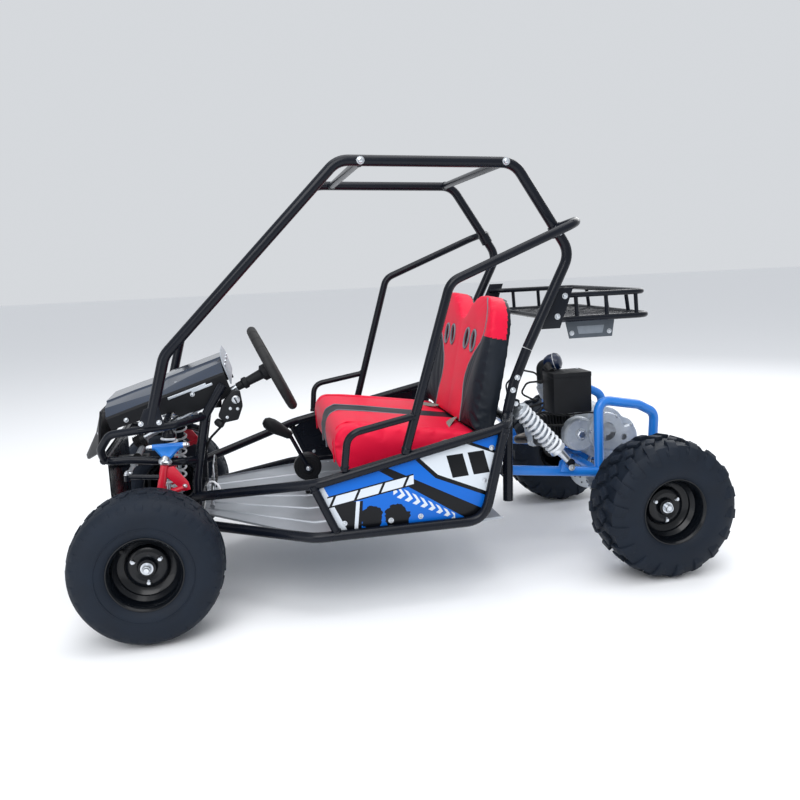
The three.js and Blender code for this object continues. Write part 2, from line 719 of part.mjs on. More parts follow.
for (const [side, s] of SIDES) {
  const frontTop = mirrored([FRONT_SHOCK_TOP], s)[0];
  const frontFoot = mirrored([FRONT_SHOCK_FOOT], s)[0];
  const rearTop = mirrored([REAR_SHOCK_TOP], s)[0];
  const rearFoot = mirrored([REAR_SHOCK_FOOT], s)[0];
  const frontEye = eye(frontTop, [1, 0, 0], FRONT_DAMPER);
  const rearEye = eye(rearTop, [0, 1, 0], REAR_DAMPER);
  piece(`cage_hoop_${side}`, cut(cageTube(s), loopTube(s, WELD_GAP)), 'frame');
  piece(`side_frame_${side}`, sideFrame(s), 'frame');
  piece(`side_panel_${side}`, sidePanel(s), 'panel');
  piece(`side_hoop_${side}`, sideHoop(s), 'frame');
  piece(`lower_arm_${side}`, lowerArm(s), 'frame');
  piece(`upper_arm_${side}`, upperArm(s), 'blue');
  piece(`ball_joint_${side}`, ballJoint(s), 'rubber');
  piece(`knuckle_${side}`, knuckle(s), 'knuckle');
  piece(`tie_rod_${side}`, tieRod(s), 'steel');
  piece(`front_shock_body_${side}`, weld(damperBody(frontTop, frontFoot, FRONT_DAMPER), frontEye), 'steel');
  piece(`front_shock_rod_${side}`, damperRod(frontTop, frontFoot, FRONT_DAMPER), 'steel');
  piece(`rear_shock_body_${side}`, weld(damperBody(rearTop, rearFoot, REAR_DAMPER), rearEye), 'steel');
  piece(`rear_shock_rod_${side}`, weld(
    damperRod(rearTop, rearFoot, REAR_DAMPER), eye(rearFoot, [0, 1, 0], REAR_DAMPER),
  ), 'steel');
  piece(`rear_spring_${side}`, springSleeve(rearTop, rearFoot, 42, 222, REAR_DAMPER), 'steel');
  for (const [axle, wheel] of [['front', FRONT_WHEEL], ['rear', REAR_WHEEL]]) {
    const centre = [wheel.x, s * wheel.y, wheel.radius];
    piece(`${axle}_tyre_${side}`, tyre(wheel).translate(0, s * wheel.y, 0), 'tyre');
    piece(`${axle}_rim_${side}`, rim(wheel, s).translate(...centre), 'rim');
  }
}

const model = new THREE.Group();
model.add(kart);
export default model;
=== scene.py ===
import math

import bmesh
import bpy
from mathutils import Matrix, Vector


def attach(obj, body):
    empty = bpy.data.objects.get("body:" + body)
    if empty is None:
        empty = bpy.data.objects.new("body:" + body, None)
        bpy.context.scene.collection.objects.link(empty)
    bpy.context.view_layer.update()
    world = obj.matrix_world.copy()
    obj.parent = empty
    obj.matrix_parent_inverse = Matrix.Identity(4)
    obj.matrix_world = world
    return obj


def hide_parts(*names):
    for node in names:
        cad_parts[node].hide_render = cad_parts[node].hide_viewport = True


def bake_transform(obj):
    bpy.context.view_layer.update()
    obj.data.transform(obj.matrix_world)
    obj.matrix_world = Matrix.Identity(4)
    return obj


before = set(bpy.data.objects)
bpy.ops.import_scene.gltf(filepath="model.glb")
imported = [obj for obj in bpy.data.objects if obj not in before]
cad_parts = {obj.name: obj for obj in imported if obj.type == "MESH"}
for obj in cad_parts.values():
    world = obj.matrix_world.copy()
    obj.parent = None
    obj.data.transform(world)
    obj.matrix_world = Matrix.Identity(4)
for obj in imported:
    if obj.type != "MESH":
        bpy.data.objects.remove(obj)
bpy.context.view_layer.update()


# ---- Studio ------------------------------------------------------------------------------------
# A pale floor and soft, broad lights, with one camera low beside the kart's left flank, looking
# a little forward of square, so that the driver's side and the open cockpit both show.
def srgb(code):
    channels = [int(code[i:i + 2], 16) / 255 for i in (1, 3, 5)]
    linear = [c / 12.92 if c <= 0.04045 else ((c + 0.055) / 1.055) ** 2.4 for c in channels]
    return (*linear, 1.0)


def add_node(material, kind, settings=(), **links):
    tree = material.node_tree
    made = tree.nodes.new(kind)
    for name, value in dict(settings).items():
        if hasattr(made, name) and name not in made.inputs:
            setattr(made, name, value)
        else:
            made.inputs[int(name[1:]) if name[0] == "#" else name].default_value = value
    for name, source in links.items():
        key = int(name[1:]) if name[1:].isdigit() else name.replace("_", " ")
        tree.links.new(source, made.inputs[key])
    return made


camera_data = bpy.data.cameras.new("camera")
camera = bpy.data.objects.new("camera", camera_data)
bpy.context.scene.collection.objects.link(camera)
bpy.context.scene.camera = camera
CAMERA_AT = Vector((0.4430, 2.5740, 0.9376))
CAMERA_YAW, CAMERA_PITCH, CAMERA_ROLL = -0.19884, -0.14485, -0.04403
camera_data.lens = 37.16
camera_data.shift_x = -0.0130
camera_data.shift_y = -0.0216
ahead = Vector((math.sin(CAMERA_YAW) * math.cos(CAMERA_PITCH),
                -math.cos(CAMERA_YAW) * math.cos(CAMERA_PITCH), math.sin(CAMERA_PITCH)))
across = ahead.cross(Vector((0, 0, 1))).normalized()
upward = across.cross(ahead)
turn = Matrix.Rotation(-CAMERA_ROLL, 3, ahead)
camera.matrix_world = Matrix.Translation(CAMERA_AT) @ Matrix(
    (turn @ across, turn @ upward, -ahead)).transposed().to_4x4()

world = bpy.data.worlds.new("studio")
bpy.context.scene.world = world
world.use_nodes = True
world.node_tree.nodes["Background"].inputs["Color"].default_value = (0.93, 0.96, 1.0, 1.0)
world.node_tree.nodes["Background"].inputs["Strength"].default_value = 0.72
bpy.context.scene.view_settings.view_transform = "Standard"

for name, place, size, power in (("key_light", (1.2, 3.4, 3.2), 2.6, 95),
                                 ("roof_light", (-0.2, 0.3, 4.0), 3.6, 95),
                                 ("back_light", (-2.8, -2.4, 2.8), 2.4, 50),
                                 ("low_light", (2.6, 2.2, 0.9), 1.6, 14)):
    lamp_data = bpy.data.lights.new(name, "AREA")
    lamp_data.size = size
    lamp_data.energy = power
    lamp = bpy.data.objects.new(name, lamp_data)
    lamp.location = place
    lamp.rotation_euler = (Vector((0, 0, 0.4)) - Vector(place)).to_track_quat("-Z", "Y").to_euler()
    bpy.context.scene.collection.objects.link(lamp)

# Painted studio board: dead matt, so it takes only soft shadows.
floor_board = bpy.data.materials.new("painted_board_matt")
floor_board.use_nodes = True
floor_board.node_tree.nodes["Principled BSDF"].inputs["Base Color"].default_value = srgb("#F4F5F7")
floor_board.node_tree.nodes["Principled BSDF"].inputs["Roughness"].default_value = 0.9
shape = bmesh.new()
bmesh.ops.create_grid(shape, x_segments=1, y_segments=1, size=30)
bmesh.ops.translate(shape, vec=(0, 0, -0.001), verts=shape.verts)
floor_mesh = bpy.data.meshes.new("studio_floor")
shape.to_mesh(floor_mesh)
shape.free()
floor_mesh.materials.append(floor_board)
studio_floor = bpy.data.objects.new("studio_floor", floor_mesh)
bpy.context.scene.collection.objects.link(studio_floor)


# ---- Roll cage ---------------------------------------------------------------------------------
# Two bent hoops of 30 mm steel tube run from the front loops over the cockpit to the rear legs,
# tied by two roof bars. All of it is welded, then powder coated in gloss black.
FRONT_AXLE = Vector((0.7215, 0, 0))


def at(*point):
    """A point in millimetres from the ground under the front axle, as a point of the frame."""
    return FRONT_AXLE + Vector(point) / 1000


def sided(points, side):
    return [at(x, y * side, z) for x, y, z in points]


def rounded(points, bend):
    """The path with each corner turned into an arc, as a bending tool leaves it."""
    path = [points[0]]
    for before, corner, after in zip(points, points[1:], points[2:]):
        back, onward = (before - corner), (after - corner)
        angle = back.angle(onward)
        reach = min(bend / math.tan(angle / 2), back.length * 0.49, onward.length * 0.49)
        first, last = corner + back.normalized() * reach, corner + onward.normalized() * reach
        steps = max(2, int((math.pi - angle) / math.radians(7)) + 1)
        for step in range(steps + 1):
            t = step / steps
            path.append(first * (1 - t) ** 2 + corner * 2 * t * (1 - t) + last * t * t)
    path.append(points[-1])
    return path


def settle(shape, part, transform, mat):
    """Closes a part, faces it outwards, paints and places it, and joins it to the shape."""
    bmesh.ops.remove_doubles(part, verts=part.verts, dist=1e-6)
    bmesh.ops.recalc_face_normals(part, faces=part.faces)
    bmesh.ops.transform(part, matrix=transform, verts=part.verts)
    for face in part.faces:
        face.material_index = mat
    mesh = bpy.data.meshes.new("part")
    part.to_mesh(mesh)
    part.free()
    shape.from_mesh(mesh)
    bpy.data.meshes.remove(mesh)


def add_tube(shape, points, radius, bend=0.07, fine=3, closed=False, mat=0):
    """Sweeps a round bar or tube along the path into the shape."""
    curve = bpy.data.curves.new("path", "CURVE")
    curve.dimensions = "3D"
    curve.bevel_depth = radius
    curve.bevel_resolution = fine
    curve.use_fill_caps = not closed
    path = points if bend == 0 else rounded(points, bend)
    spline = curve.splines.new("POLY")
    spline.points.add(len(path) - 1)
    spline.use_cyclic_u = closed
    for knot, place in zip(spline.points, path):
        knot.co = (*place, 1)
    holder = bpy.data.objects.new("path", curve)
    mesh = bpy.data.meshes.new_from_object(holder)
    part = bmesh.new()
    part.from_mesh(mesh)
    bpy.data.objects.remove(holder)
    bpy.data.curves.remove(curve)
    bpy.data.meshes.remove(mesh)
    settle(shape, part, Matrix(), mat)


def placed(origin, direction, roll=(0, 0, 1)):
    """A transform that sends +Z along direction and puts the origin in its place."""
    z = Vector(direction).normalized()
    x = Vector(roll).cross(z)
    if x.length < 1e-3:
        x = Vector((1, 0, 0)).cross(z)
    x.normalize()
    return Matrix.Translation(origin) @ Matrix((x, z.cross(x), z)).transposed().to_4x4()


def add_turned(shape, profile, origin, direction, steps=32, mat=0):
    """Spins a profile of (along, radius) pairs, in millimetres, about an axis."""
    part = bmesh.new()
    ring = [part.verts.new((radius / 1000, 0, along / 1000)) for along, radius in profile]
    edges = [part.edges.new((a, b)) for a, b in zip(ring, ring[1:])]
    bmesh.ops.spin(part, geom=ring + edges, cent=(0, 0, 0), axis=(0, 0, 1), angle=math.tau,
                   steps=steps, use_merge=True)
    settle(shape, part, placed(origin, direction), mat)


def soften_edges(part, millimetres):
    """Rounds every edge of a part that isn't flat."""
    edges = [e for e in part.edges if e.calc_face_angle(0) > 0.3]
    bmesh.ops.bevel(part, geom=edges, offset=millimetres / 1000, affect="EDGES", segments=2,
                    profile=0.5, material=-1)


def add_box(shape, low, high, soften=1.5, mat=0, transform=None):
    """A block between two corners, in millimetres, with its edges rounded over."""
    part = bmesh.new()
    size = [(b - a) / 1000 for a, b in zip(low, high)]
    middle = Vector([(a + b) / 2000 for a, b in zip(low, high)])
    bmesh.ops.create_cube(part, size=1, matrix=Matrix.Translation(middle) @ Matrix.Diagonal((*size, 1)))
    if soften:
        soften_edges(part, soften)
    settle(shape, part, transform or Matrix.Translation(FRONT_AXLE), mat)


def add_slab(shape, outline, thickness, transform, soften=0.8, mat=0):
    """A flat plate cut to an outline, in millimetres, in the transform's X-Y plane."""
    part = bmesh.new()
    face = part.faces.new([part.verts.new((x / 1000, y / 1000, 0)) for x, y in outline])
    grown = bmesh.ops.extrude_face_region(part, geom=[face])
    top = [v for v in grown["geom"] if isinstance(v, bmesh.types.BMVert)]
    bmesh.ops.translate(part, vec=(0, 0, thickness / 1000), verts=top)
    if soften:
        soften_edges(part, soften)
    settle(shape, part, transform, mat)


def add_bolt(shape, origin, direction, size=7, mat=0):
    """A domed socket bolt on its washer. Size is the head's radius in millimetres."""
    add_turned(shape, [(-2, 0), (-2, size * 1.35), (0.8, size * 1.35), (1, size), (size * 0.35, size),
                       (size * 0.7, size * 0.8), (size * 0.85, size * 0.42), (size * 0.4, size * 0.4),
                       (size * 0.4, 0)], origin, direction, steps=16, mat=mat)


def add_nut(shape, origin, direction, size=8, tall=7, stub=4, mat=0):
    """A hexagon nut on a washer, with the thread's end standing out of it."""
    add_turned(shape, [(-2, 0), (-2, size * 1.3), (0, size * 1.3), (0, size * 0.4),
                       (tall + stub, size * 0.4), (tall + stub, 0)], origin, direction, steps=16, mat=mat)
    add_turned(shape, [(0, 0), (0, size), (tall, size), (tall, 0)], origin, direction, steps=6, mat=mat)


def side_face(y):
    """An upright plane along the kart at one place, so outlines are given along and up."""
    return Matrix.Translation(at(0, y, 0)) @ Matrix.Rotation(math.radians(90), 4, "X")


def piece(name, shape, materials, body, stands_for=(), smooth=32):
    """Makes the finished object from its shape, rides it on its body and frees the shape."""
    bmesh.ops.remove_doubles(shape, verts=shape.verts, dist=1e-6)
    mesh = bpy.data.meshes.new(name)
    shape.to_mesh(mesh)
    shape.free()
    for material in materials:
        mesh.materials.append(material)
    made = bpy.data.objects.new(name, mesh)
    bpy.context.scene.collection.objects.link(made)
    mesh.shade_smooth()
    mesh.set_sharp_from_angle(angle=math.radians(smooth))
    if body:
        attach(made, body)
    if stands_for:
        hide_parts(*stands_for)
    return made


def new_material(name):
    material = bpy.data.materials.new(name)
    material.use_nodes = True
    return material, material.node_tree.nodes["Principled BSDF"]


def mottle(material, shader, dark, light, millimetres, bump=0.0, bump_mm=1.0, rough=None):
    """Soft colour variation at one real scale and, where given, a fine bump and uneven gloss."""
    place = add_node(material, "ShaderNodeTexCoord")
    cloud = add_node(material, "ShaderNodeTexNoise", {"Scale": 1000 / millimetres, "Detail": 4.0},
                     Vector=place.outputs["Object"])
    mix = add_node(material, "ShaderNodeMix", {"data_type": "RGBA", "#6": srgb(dark), "#7": srgb(light)},
                   Factor=cloud.outputs["Fac"])
    material.node_tree.links.new(mix.outputs[2], shader.inputs["Base Color"])
    if rough:
        span = add_node(material, "ShaderNodeMapRange", {"To Min": rough[0], "To Max": rough[1]},
                        Value=cloud.outputs["Fac"])
        material.node_tree.links.new(span.outputs["Result"], shader.inputs["Roughness"])
    if bump:
        grain = add_node(material, "ShaderNodeTexNoise", {"Scale": 1000 / bump_mm, "Detail": 2.0},
                         Vector=place.outputs["Object"])
        relief = add_node(material, "ShaderNodeBump", {"Strength": bump, "Distance": 0.0004},
                          Height=grain.outputs["Fac"])
        material.node_tree.links.new(relief.outputs["Normal"], shader.inputs["Normal"])
    return place


# Polyester powder coat, sprayed and baked: a deep black film with a faint orange peel about
# 4 mm across and a clear, hard gloss that catches a long highlight along each tube.
powder_black, shader = new_material("powder_coat_gloss_black")
shader.inputs["IOR"].default_value = 1.5
shader.inputs["Specular IOR Level"].default_value = 0.18
shader.inputs["Coat Weight"].default_value = 0.08
shader.inputs["Coat Roughness"].default_value = 0.08
mottle(powder_black, shader, "#070A12", "#0F141E", 90, bump=0.03, bump_mm=4, rough=(0.22, 0.32))

# Zinc-plated steel fasteners: bright and slightly cloudy.
zinc, shader = new_material("zinc_plated_steel")
shader.inputs["Metallic"].default_value = 1.0
mottle(zinc, shader, "#B9BEC4", "#DDE1E6", 12, bump=0.08, bump_mm=0.8, rough=(0.22, 0.38))

HOOP = [(-26, 345, 546), (-76, 345, 724), (-557, 343, 1212), (-1047, 343, 1197),
        (-1206, 343, 945), (-1072, 343, 680)]
for side, hand in ((1, "left"), (-1, "right")):
    shape = bmesh.new()
    add_tube(shape, sided(HOOP, side), 0.015, fine=5)
    for x, z in ((-617, 1209), (-1019, 1199)):
        add_bolt(shape, at(x, side * 358, z), (0, side, 0), 8, mat=1)
    piece(f"cage_hoop_tube_{hand}", shape, [powder_black, zinc], "chassis", [f"cage_hoop_{hand}"])

for end, x, z in (("front", -617, 1209), ("rear", -1019, 1199)):
    shape = bmesh.new()
    add_tube(shape, [at(x, -330, z), at(x, 330, z)], 0.0115, bend=0, fine=5)
    for side in (1, -1):
        add_turned(shape, [(0, 0), (0, 14.5), (5, 14.5), (9, 12), (9, 0)], at(x, side * 329, z),
                   (0, -side, 0), steps=20)
    piece(f"roof_bar_tube_{end}", shape, [powder_black], "chassis", [f"roof_bar_{end}"])


# ---- Front frame -------------------------------------------------------------------------------
# Two bent uprights, a low keel and a loop round each front corner, all welded black tube. A
# drilled face plate stands across the nose, with a shelf behind it for the steering rack.
UPRIGHT = [(-119, 228, 205), (-126, 228, 357), (-161, 228, 537), (-216, 228, 622)]
CORNER_LOOP = [(-161, 228, 537), (-84, 320, 535), (-4, 345, 533), (82, 326, 523), (112, 300, 480),
               (108, 270, 440), (42, 264, 438), (-92, 264, 421), (-128, 228, 414)]
KEEL = [(-119, 118, 230), (-70, 118, 205), (110, 118, 205)]


def add_cross(shape, x, half, z, radius):
    """A straight tube across the kart."""
    add_tube(shape, [at(x, -half, z), at(x, half, z)], radius / 1000, bend=0, fine=4)


def add_weld(shape, origin, direction, radius):
    """The raised bead where a tube of that radius ends on another."""
    bead = [(-3, radius - 1), (-2.5, radius + 1.5), (0, radius + 2.4), (2.5, radius + 1.4), (3, radius - 1)]
    add_turned(shape, bead, origin, direction, steps=24)


shape = bmesh.new()
for side in (1, -1):
    add_tube(shape, sided(UPRIGHT, side), 0.0125, bend=0.06, fine=4)
    add_tube(shape, sided(CORNER_LOOP, side), 0.011, bend=0.038, fine=4)
    add_tube(shape, sided(KEEL, side), 0.014, bend=0.038, fine=4)
    add_weld(shape, at(-124, side * 233, 416), (-36, side * 36, 7), 11)
    add_weld(shape, at(-152, side * 235, 537), (77, side * 92, -2), 11)
    foot = side_face(side * 356)
    add_slab(shape, [(-64, 540), (6, 540), (-14, 588), (-50, 600)], 3, foot)
    for x, z in ((-4, 551), (-50, 551)):
        add_bolt(shape, at(x, side * 356, z), (0, side, 0), 5, mat=1)
for x, half, z, radius in ((-119, 228, 230, 14), (-190, 228, 581, 11), (-62, 330, 541, 9),
                           (108, 285, 446, 11)):
    add_cross(shape, x, half, z, radius)
face_up = Matrix.Translation(at(110, 0, 0)) @ Matrix(((0, 0, 1), (1, 0, 0), (0, 1, 0))).to_4x4()
add_slab(shape, [(-140, 195), (140, 195), (205, 330), (205, 446), (-205, 446), (-205, 330)], 4,
         face_up @ Matrix.Translation((0, 0, -0.002)))
# Each hole is a shallow cup in the darker hole material: painted shade, not an opening.
for row in range(5):
    for column in range(-7, 8):
        y, z = column * 24 + (row % 2) * 12, 262 + row * 34
        if abs(y) < 186 - max(0, 330 - z) * 0.45:
            add_turned(shape, [(-0.5, 0), (-0.5, 8), (2.2, 8), (2.2, 6.4), (0.2, 6.4), (0.2, 0)],
                       at(112, y, z), (1, 0, 0), steps=6, mat=2)
add_box(shape, (28, -60, 374), (110, 60, 386), 2)
add_box(shape, (-208, 146, 552), (-172, 194, 594), 3)
# Punched holes drawn as darker matt cups on the plate: painted shade for the hollow of each hole.
painted_hole_shade, shader = new_material("punched_plate_hole_painted_shade")
mottle(painted_hole_shade, shader, "#050608", "#0A0B0D", 8, rough=(0.7, 0.85))
piece("front_frame_tubes", shape, [powder_black, zinc, painted_hole_shade], "chassis", ["front_frame"])


# ---- Seat frame --------------------------------------------------------------------------------
# The cage's rear legs and a ladder of lengthwise and cross tubes that the seat bolts down on.
# Lugs and bosses for the rear dampers and the swing arm are welded on behind.
REAR_LEG = [(-1071.2, 343, 678.4), (-1030, 343, 585), (-1008, 343, 500), (-1003, 343, 240)]
shape = bmesh.new()
for side in (1, -1):
    add_tube(shape, sided(REAR_LEG, side), 0.015, fine=4)
    add_tube(shape, [at(-985, side * 190, 332), at(-560, side * 190, 332)], 0.011, bend=0, fine=4)
    add_turned(shape, [(0, 0), (0, 10), (44, 10), (44, 0)], at(-1014, side * 328, 306), (0, -side, 0))
    add_turned(shape, [(0, 0), (0, 13), (3, 13), (3, 0)], at(-1014, side * 291, 306), (0, -side, 0))
    lug = side_face(side * 326.5 + 5)
    add_slab(shape, [(-1050, 512), (-1040, 507), (-1006, 507), (-1006, 535), (-1040, 535), (-1050, 530)],
             9, lug, soften=1.5)
    add_nut(shape, at(-1037, side * 331, 521), (0, side, 0), 7.5, 7, 4, mat=1)
    for x, z in ((-1036, 600), (-1022, 565)):
        add_bolt(shape, at(x, side * 357, z), (0.1, side, 0), 6, mat=1)
    add_weld(shape, at(-1006, side * 326, 478), (0, side, 0), 12)
    add_weld(shape, at(-984, side * 326, 332), (0, side, 0), 13)
for x, half, z, radius in ((-985, 343, 332, 13), (-1012, 343, 478, 12), (-925, 445, 332, 13),
                           (-560, 445, 332, 13)):
    add_cross(shape, x, half, z, radius)
piece("seat_frame_tubes", shape, [powder_black, zinc], "chassis", ["seat_frame"])


# ---- Side frames -------------------------------------------------------------------------------
# Each flank is a top rail, a sill and a slanted brace in black tube that keep feet and elbows in.
# They are welded to the front uprights and to the cage's rear legs.
TOP_RAIL = [(-116, 228, 308), (-445, 460, 373), (-966, 460, 483), (-1008, 350, 494)]
SILL = [(-119, 228, 228), (-430, 460, 227), (-896, 460, 227), (-961, 460, 480)]
BRACE = [(-432, 460, 368), (-492, 460, 226)]
for side, hand in ((1, "left"), (-1, "right")):
    shape = bmesh.new()
    add_tube(shape, sided(TOP_RAIL, side), 0.014, bend=0.06, fine=5)
    add_tube(shape, sided(SILL, side), 0.014, bend=0.07, fine=5)
    add_tube(shape, sided(BRACE, side), 0.011, bend=0, fine=4)
    add_weld(shape, at(-436, side * 460, 355), (-60, 0, -142), 11)
    add_weld(shape, at(-487, side * 460, 240), (-60, 0, -142), 11)
    add_weld(shape, at(-959, side * 460, 466), (65, 0, 253), 13)
    piece(f"side_frame_tubes_{hand}", shape, [powder_black], "chassis", [f"side_frame_{hand}"])


# ---- Side hoops --------------------------------------------------------------------------------
# A tall hoop beside each seat guards the shoulder and runs back to a clamp on the cage. A short
# bent bar in front of it is the armrest. Silver bolts hold the clamp plates.
SIDE_HOOP = [(-682, 460, 434), (-818, 479, 882), (-1162, 477, 1020), (-1196, 420, 1030), (-1160, 343, 1012)]
ARMREST = [(-712, 468, 535), (-528, 482, 503), (-517, 463, 404)]
for side, hand in ((1, "left"), (-1, "right")):
    shape = bmesh.new()
    add_tube(shape, sided(SIDE_HOOP, side), 0.0125, bend=0.055, fine=5)
    add_tube(shape, sided(ARMREST, side), 0.010, bend=0.045, fine=4)
    add_weld(shape, at(-686, side * 460.6, 447), (-136, side * 19, 448), 12)
    add_weld(shape, at(-518, side * 464, 412), (11, side * 19, 99), 10)
    add_weld(shape, at(-705, side * 468.5, 534), (184, side * 14, -32), 10)
    add_turned(shape, [(-16, 17.5), (-16, 19.5), (16, 19.5), (16, 17.5)], at(-1166, side * 343, 1008),
               (-134, 0, -252), mat=0)
    for lift in (-9, 9):
        add_bolt(shape, at(-1166 - lift * 0.47, side * 363, 1008 - lift * 0.88), (0, side, 0), 5, mat=1)
    piece(f"side_hoop_tubes_{hand}", shape, [powder_black, zinc], "chassis", [f"side_hoop_{hand}"])


# ---- Floor pan ---------------------------------------------------------------------------------
# A 3 mm pan of satin silver-grey sheet, folded down at the sides and pressed with long ribs
# underfoot. It lies between the sills and is held by small rivets along each edge.
# Rolled steel sheet under a satin grey coat: fine grain along the kart and a soft sheen.
pan_grey, shader = new_material("rolled_sheet_satin_grey")
shader.inputs["Metallic"].default_value = 0.55
place = add_node(pan_grey, "ShaderNodeTexCoord")
stretch = add_node(pan_grey, "ShaderNodeMapping", {"Scale": (12, 420, 60)}, Vector=place.outputs["Object"])
grain = add_node(pan_grey, "ShaderNodeTexNoise", {"Scale": 1.0, "Detail": 4.0},
                 Vector=stretch.outputs["Vector"])
cloud = add_node(pan_grey, "ShaderNodeTexNoise", {"Scale": 9.0, "Detail": 5.0},
                 Vector=place.outputs["Object"])
blend_grey = add_node(pan_grey, "ShaderNodeMix", {"data_type": "RGBA", "#6": srgb("#8C9299"),
                                                  "#7": srgb("#B9BEC5")},
                      Factor=cloud.outputs["Fac"])
pan_grey.node_tree.links.new(blend_grey.outputs[2], shader.inputs["Base Color"])
span = add_node(pan_grey, "ShaderNodeMapRange", {"To Min": 0.34, "To Max": 0.55},
                Value=grain.outputs["Fac"])
pan_grey.node_tree.links.new(span.outputs["Result"], shader.inputs["Roughness"])

shape = bmesh.new()
stations = [(-136, 200, 246.5), (-440, 436, 217), (-890, 440, 217), (-958, 430, 217)]
loops = []
for x, half, z in stations:
    row = [(-half, z + 6), (-half, z)]
    for rib in (-0.66, -0.33, 0, 0.33, 0.66):
        row += [(half * rib - 9, z), (half * rib - 5, z + 3.5), (half * rib + 5, z + 3.5),
                (half * rib + 9, z)]
    row += [(half, z), (half, z + 6)]
    loops.append([shape.verts.new(at(x, y, height)) for y, height in row])
for front, back in zip(loops, loops[1:]):
    for a, b, c, d in zip(front, front[1:], back[1:], back):
        shape.faces.new((a, d, c, b))
bmesh.ops.solidify(shape, geom=shape.faces[:], thickness=0.003)
for side in (1, -1):
    for step in range(6):
        add_turned(shape, [(-1, 0), (-1, 5), (0.6, 4.6), (1.8, 2.6), (2.2, 0)],
                   at(-480 - step * 78, side * 418, 221), (0, 0, 1), steps=12, mat=1)
piece("floor_pan_sheet", shape, [pan_grey, zinc], "chassis", ["floor_pan"])


# ---- Side panels -------------------------------------------------------------------------------
# A flat composite panel closes each flank between the rails. It is printed in blue, white and
# black with bands, chevrons and a ragged silhouette, under a gloss film, and held by five bolts.
# A thin black slab backs the print, with the heads of three inner bolts.
# Printed gloss film: the inks are flat and clean-edged under one clear skin.
panel_print, shader = new_material("printed_gloss_film")
shader.inputs["Roughness"].default_value = 0.28
shader.inputs["Specular IOR Level"].default_value = 0.22
place = add_node(panel_print, "ShaderNodeTexCoord")
# Across the panel the first axis runs back from its lower front corner and the third runs up.
laid_out = add_node(panel_print, "ShaderNodeMapping", {"Location": (0.2235, 0, -0.226),
                                                       "Scale": (-1, 1, 1)},
                    Vector=place.outputs["Object"])
axes = add_node(panel_print, "ShaderNodeSeparateXYZ", Vector=laid_out.outputs["Vector"])


def ink_sum(a, b, first, second, third):
    """first * a + second * b + third, as one line across the panel."""
    scaled = add_node(panel_print, "ShaderNodeMath", {"operation": "MULTIPLY_ADD", "#1": second,
                                                      "#2": third}, i0=b)
    return add_node(panel_print, "ShaderNodeMath", {"operation": "MULTIPLY_ADD", "#1": first},
                    i0=a, i2=scaled.outputs[0]).outputs[0]


def ink_above(value, limit):
    return add_node(panel_print, "ShaderNodeMath", {"operation": "GREATER_THAN", "#1": limit},
                    i0=value).outputs[0]


def ink_both(a, b):
    return add_node(panel_print, "ShaderNodeMath", {"operation": "MULTIPLY"}, i0=a, i1=b).outputs[0]


def ink_over(base, mask, colour):
    laid = add_node(panel_print, "ShaderNodeMix", {"data_type": "RGBA", "#7": srgb(colour)})
    panel_print.node_tree.links.new(mask, laid.inputs[0])
    if isinstance(base, str):
        laid.inputs[6].default_value = srgb(base)
    else:
        panel_print.node_tree.links.new(base, laid.inputs[6])
    return laid.outputs[2]


def ink_between(value, low, high):
    above = ink_above(value, low)
    below = add_node(panel_print, "ShaderNodeMath", {"operation": "LESS_THAN", "#1": high},
                     i0=value).outputs[0]
    return ink_both(above, below)


def ink_size(value):
    return add_node(panel_print, "ShaderNodeMath", {"operation": "ABSOLUTE"}, i0=value).outputs[0]


def ink_beat(value):
    return add_node(panel_print, "ShaderNodeMath", {"operation": "FRACT"}, i0=value).outputs[0]


INK_BLUE, INK_WHITE, INK_BLACK = "#0B60BF", "#CBD2DA", "#07090E"
back, up = axes.outputs["X"], axes.outputs["Z"]
# A black band widens down to the rear, and a white field fills the upper rear above a blue strip.
band = ink_both(ink_above(ink_sum(back, up, -0.534, -1.0, 0.244), 0),
                ink_above(ink_sum(back, up, 0.657, 1.0, -0.2384), 0))
ink = ink_over(INK_BLUE, band, INK_BLACK)
shallow, steep = ink_sum(back, up, 0.44, 1.0, -0.2597), ink_sum(back, up, 1.02, 1.0, -0.4176)
ink = ink_over(ink, ink_both(ink_above(shallow, -0.012), ink_above(steep, -0.016)), INK_BLACK)
ink = ink_over(ink, ink_both(ink_above(shallow, 0), ink_above(steep, 0)), INK_WHITE)
ink = ink_over(ink, ink_above(ink_sum(back, up, 0.41, 1.0, 0), 0.363), INK_BLACK)
ink = ink_over(ink, ink_above(ink_sum(back, up, 0.41, 1.0, 0), 0.372), INK_BLUE)
# Two plain slanted blocks stand on the white field.
block = ink_both(ink_between(ink_sum(back, up, 1.0, 0.25, 0), 0.345, 0.452),
                 ink_between(ink_sum(back, up, -0.06, 1.0, 0), 0.108, 0.172))
slot = ink_above(ink_size(ink_sum(back, up, 1.0, 0.25, -0.3985)), 0.007)
ink = ink_over(ink, ink_both(block, slot), INK_BLACK)
# The front corner: a white wedge, a black field and one upright white stripe.
low_down = ink_above(ink_sum(back, up, 0, -1.0, 0.088), 0)
ink = ink_over(ink, ink_both(low_down, ink_above(ink_sum(back, up, -1.0, 0.1, 0.056), 0)), INK_BLACK)
ink = ink_over(ink, ink_both(low_down, ink_between(ink_sum(back, up, 1.0, -0.12, 0), 0.036, 0.046)),
               INK_WHITE)
ink = ink_over(ink, ink_above(ink_sum(back, up, -1.0, -0.46, 0.024), 0), INK_WHITE)
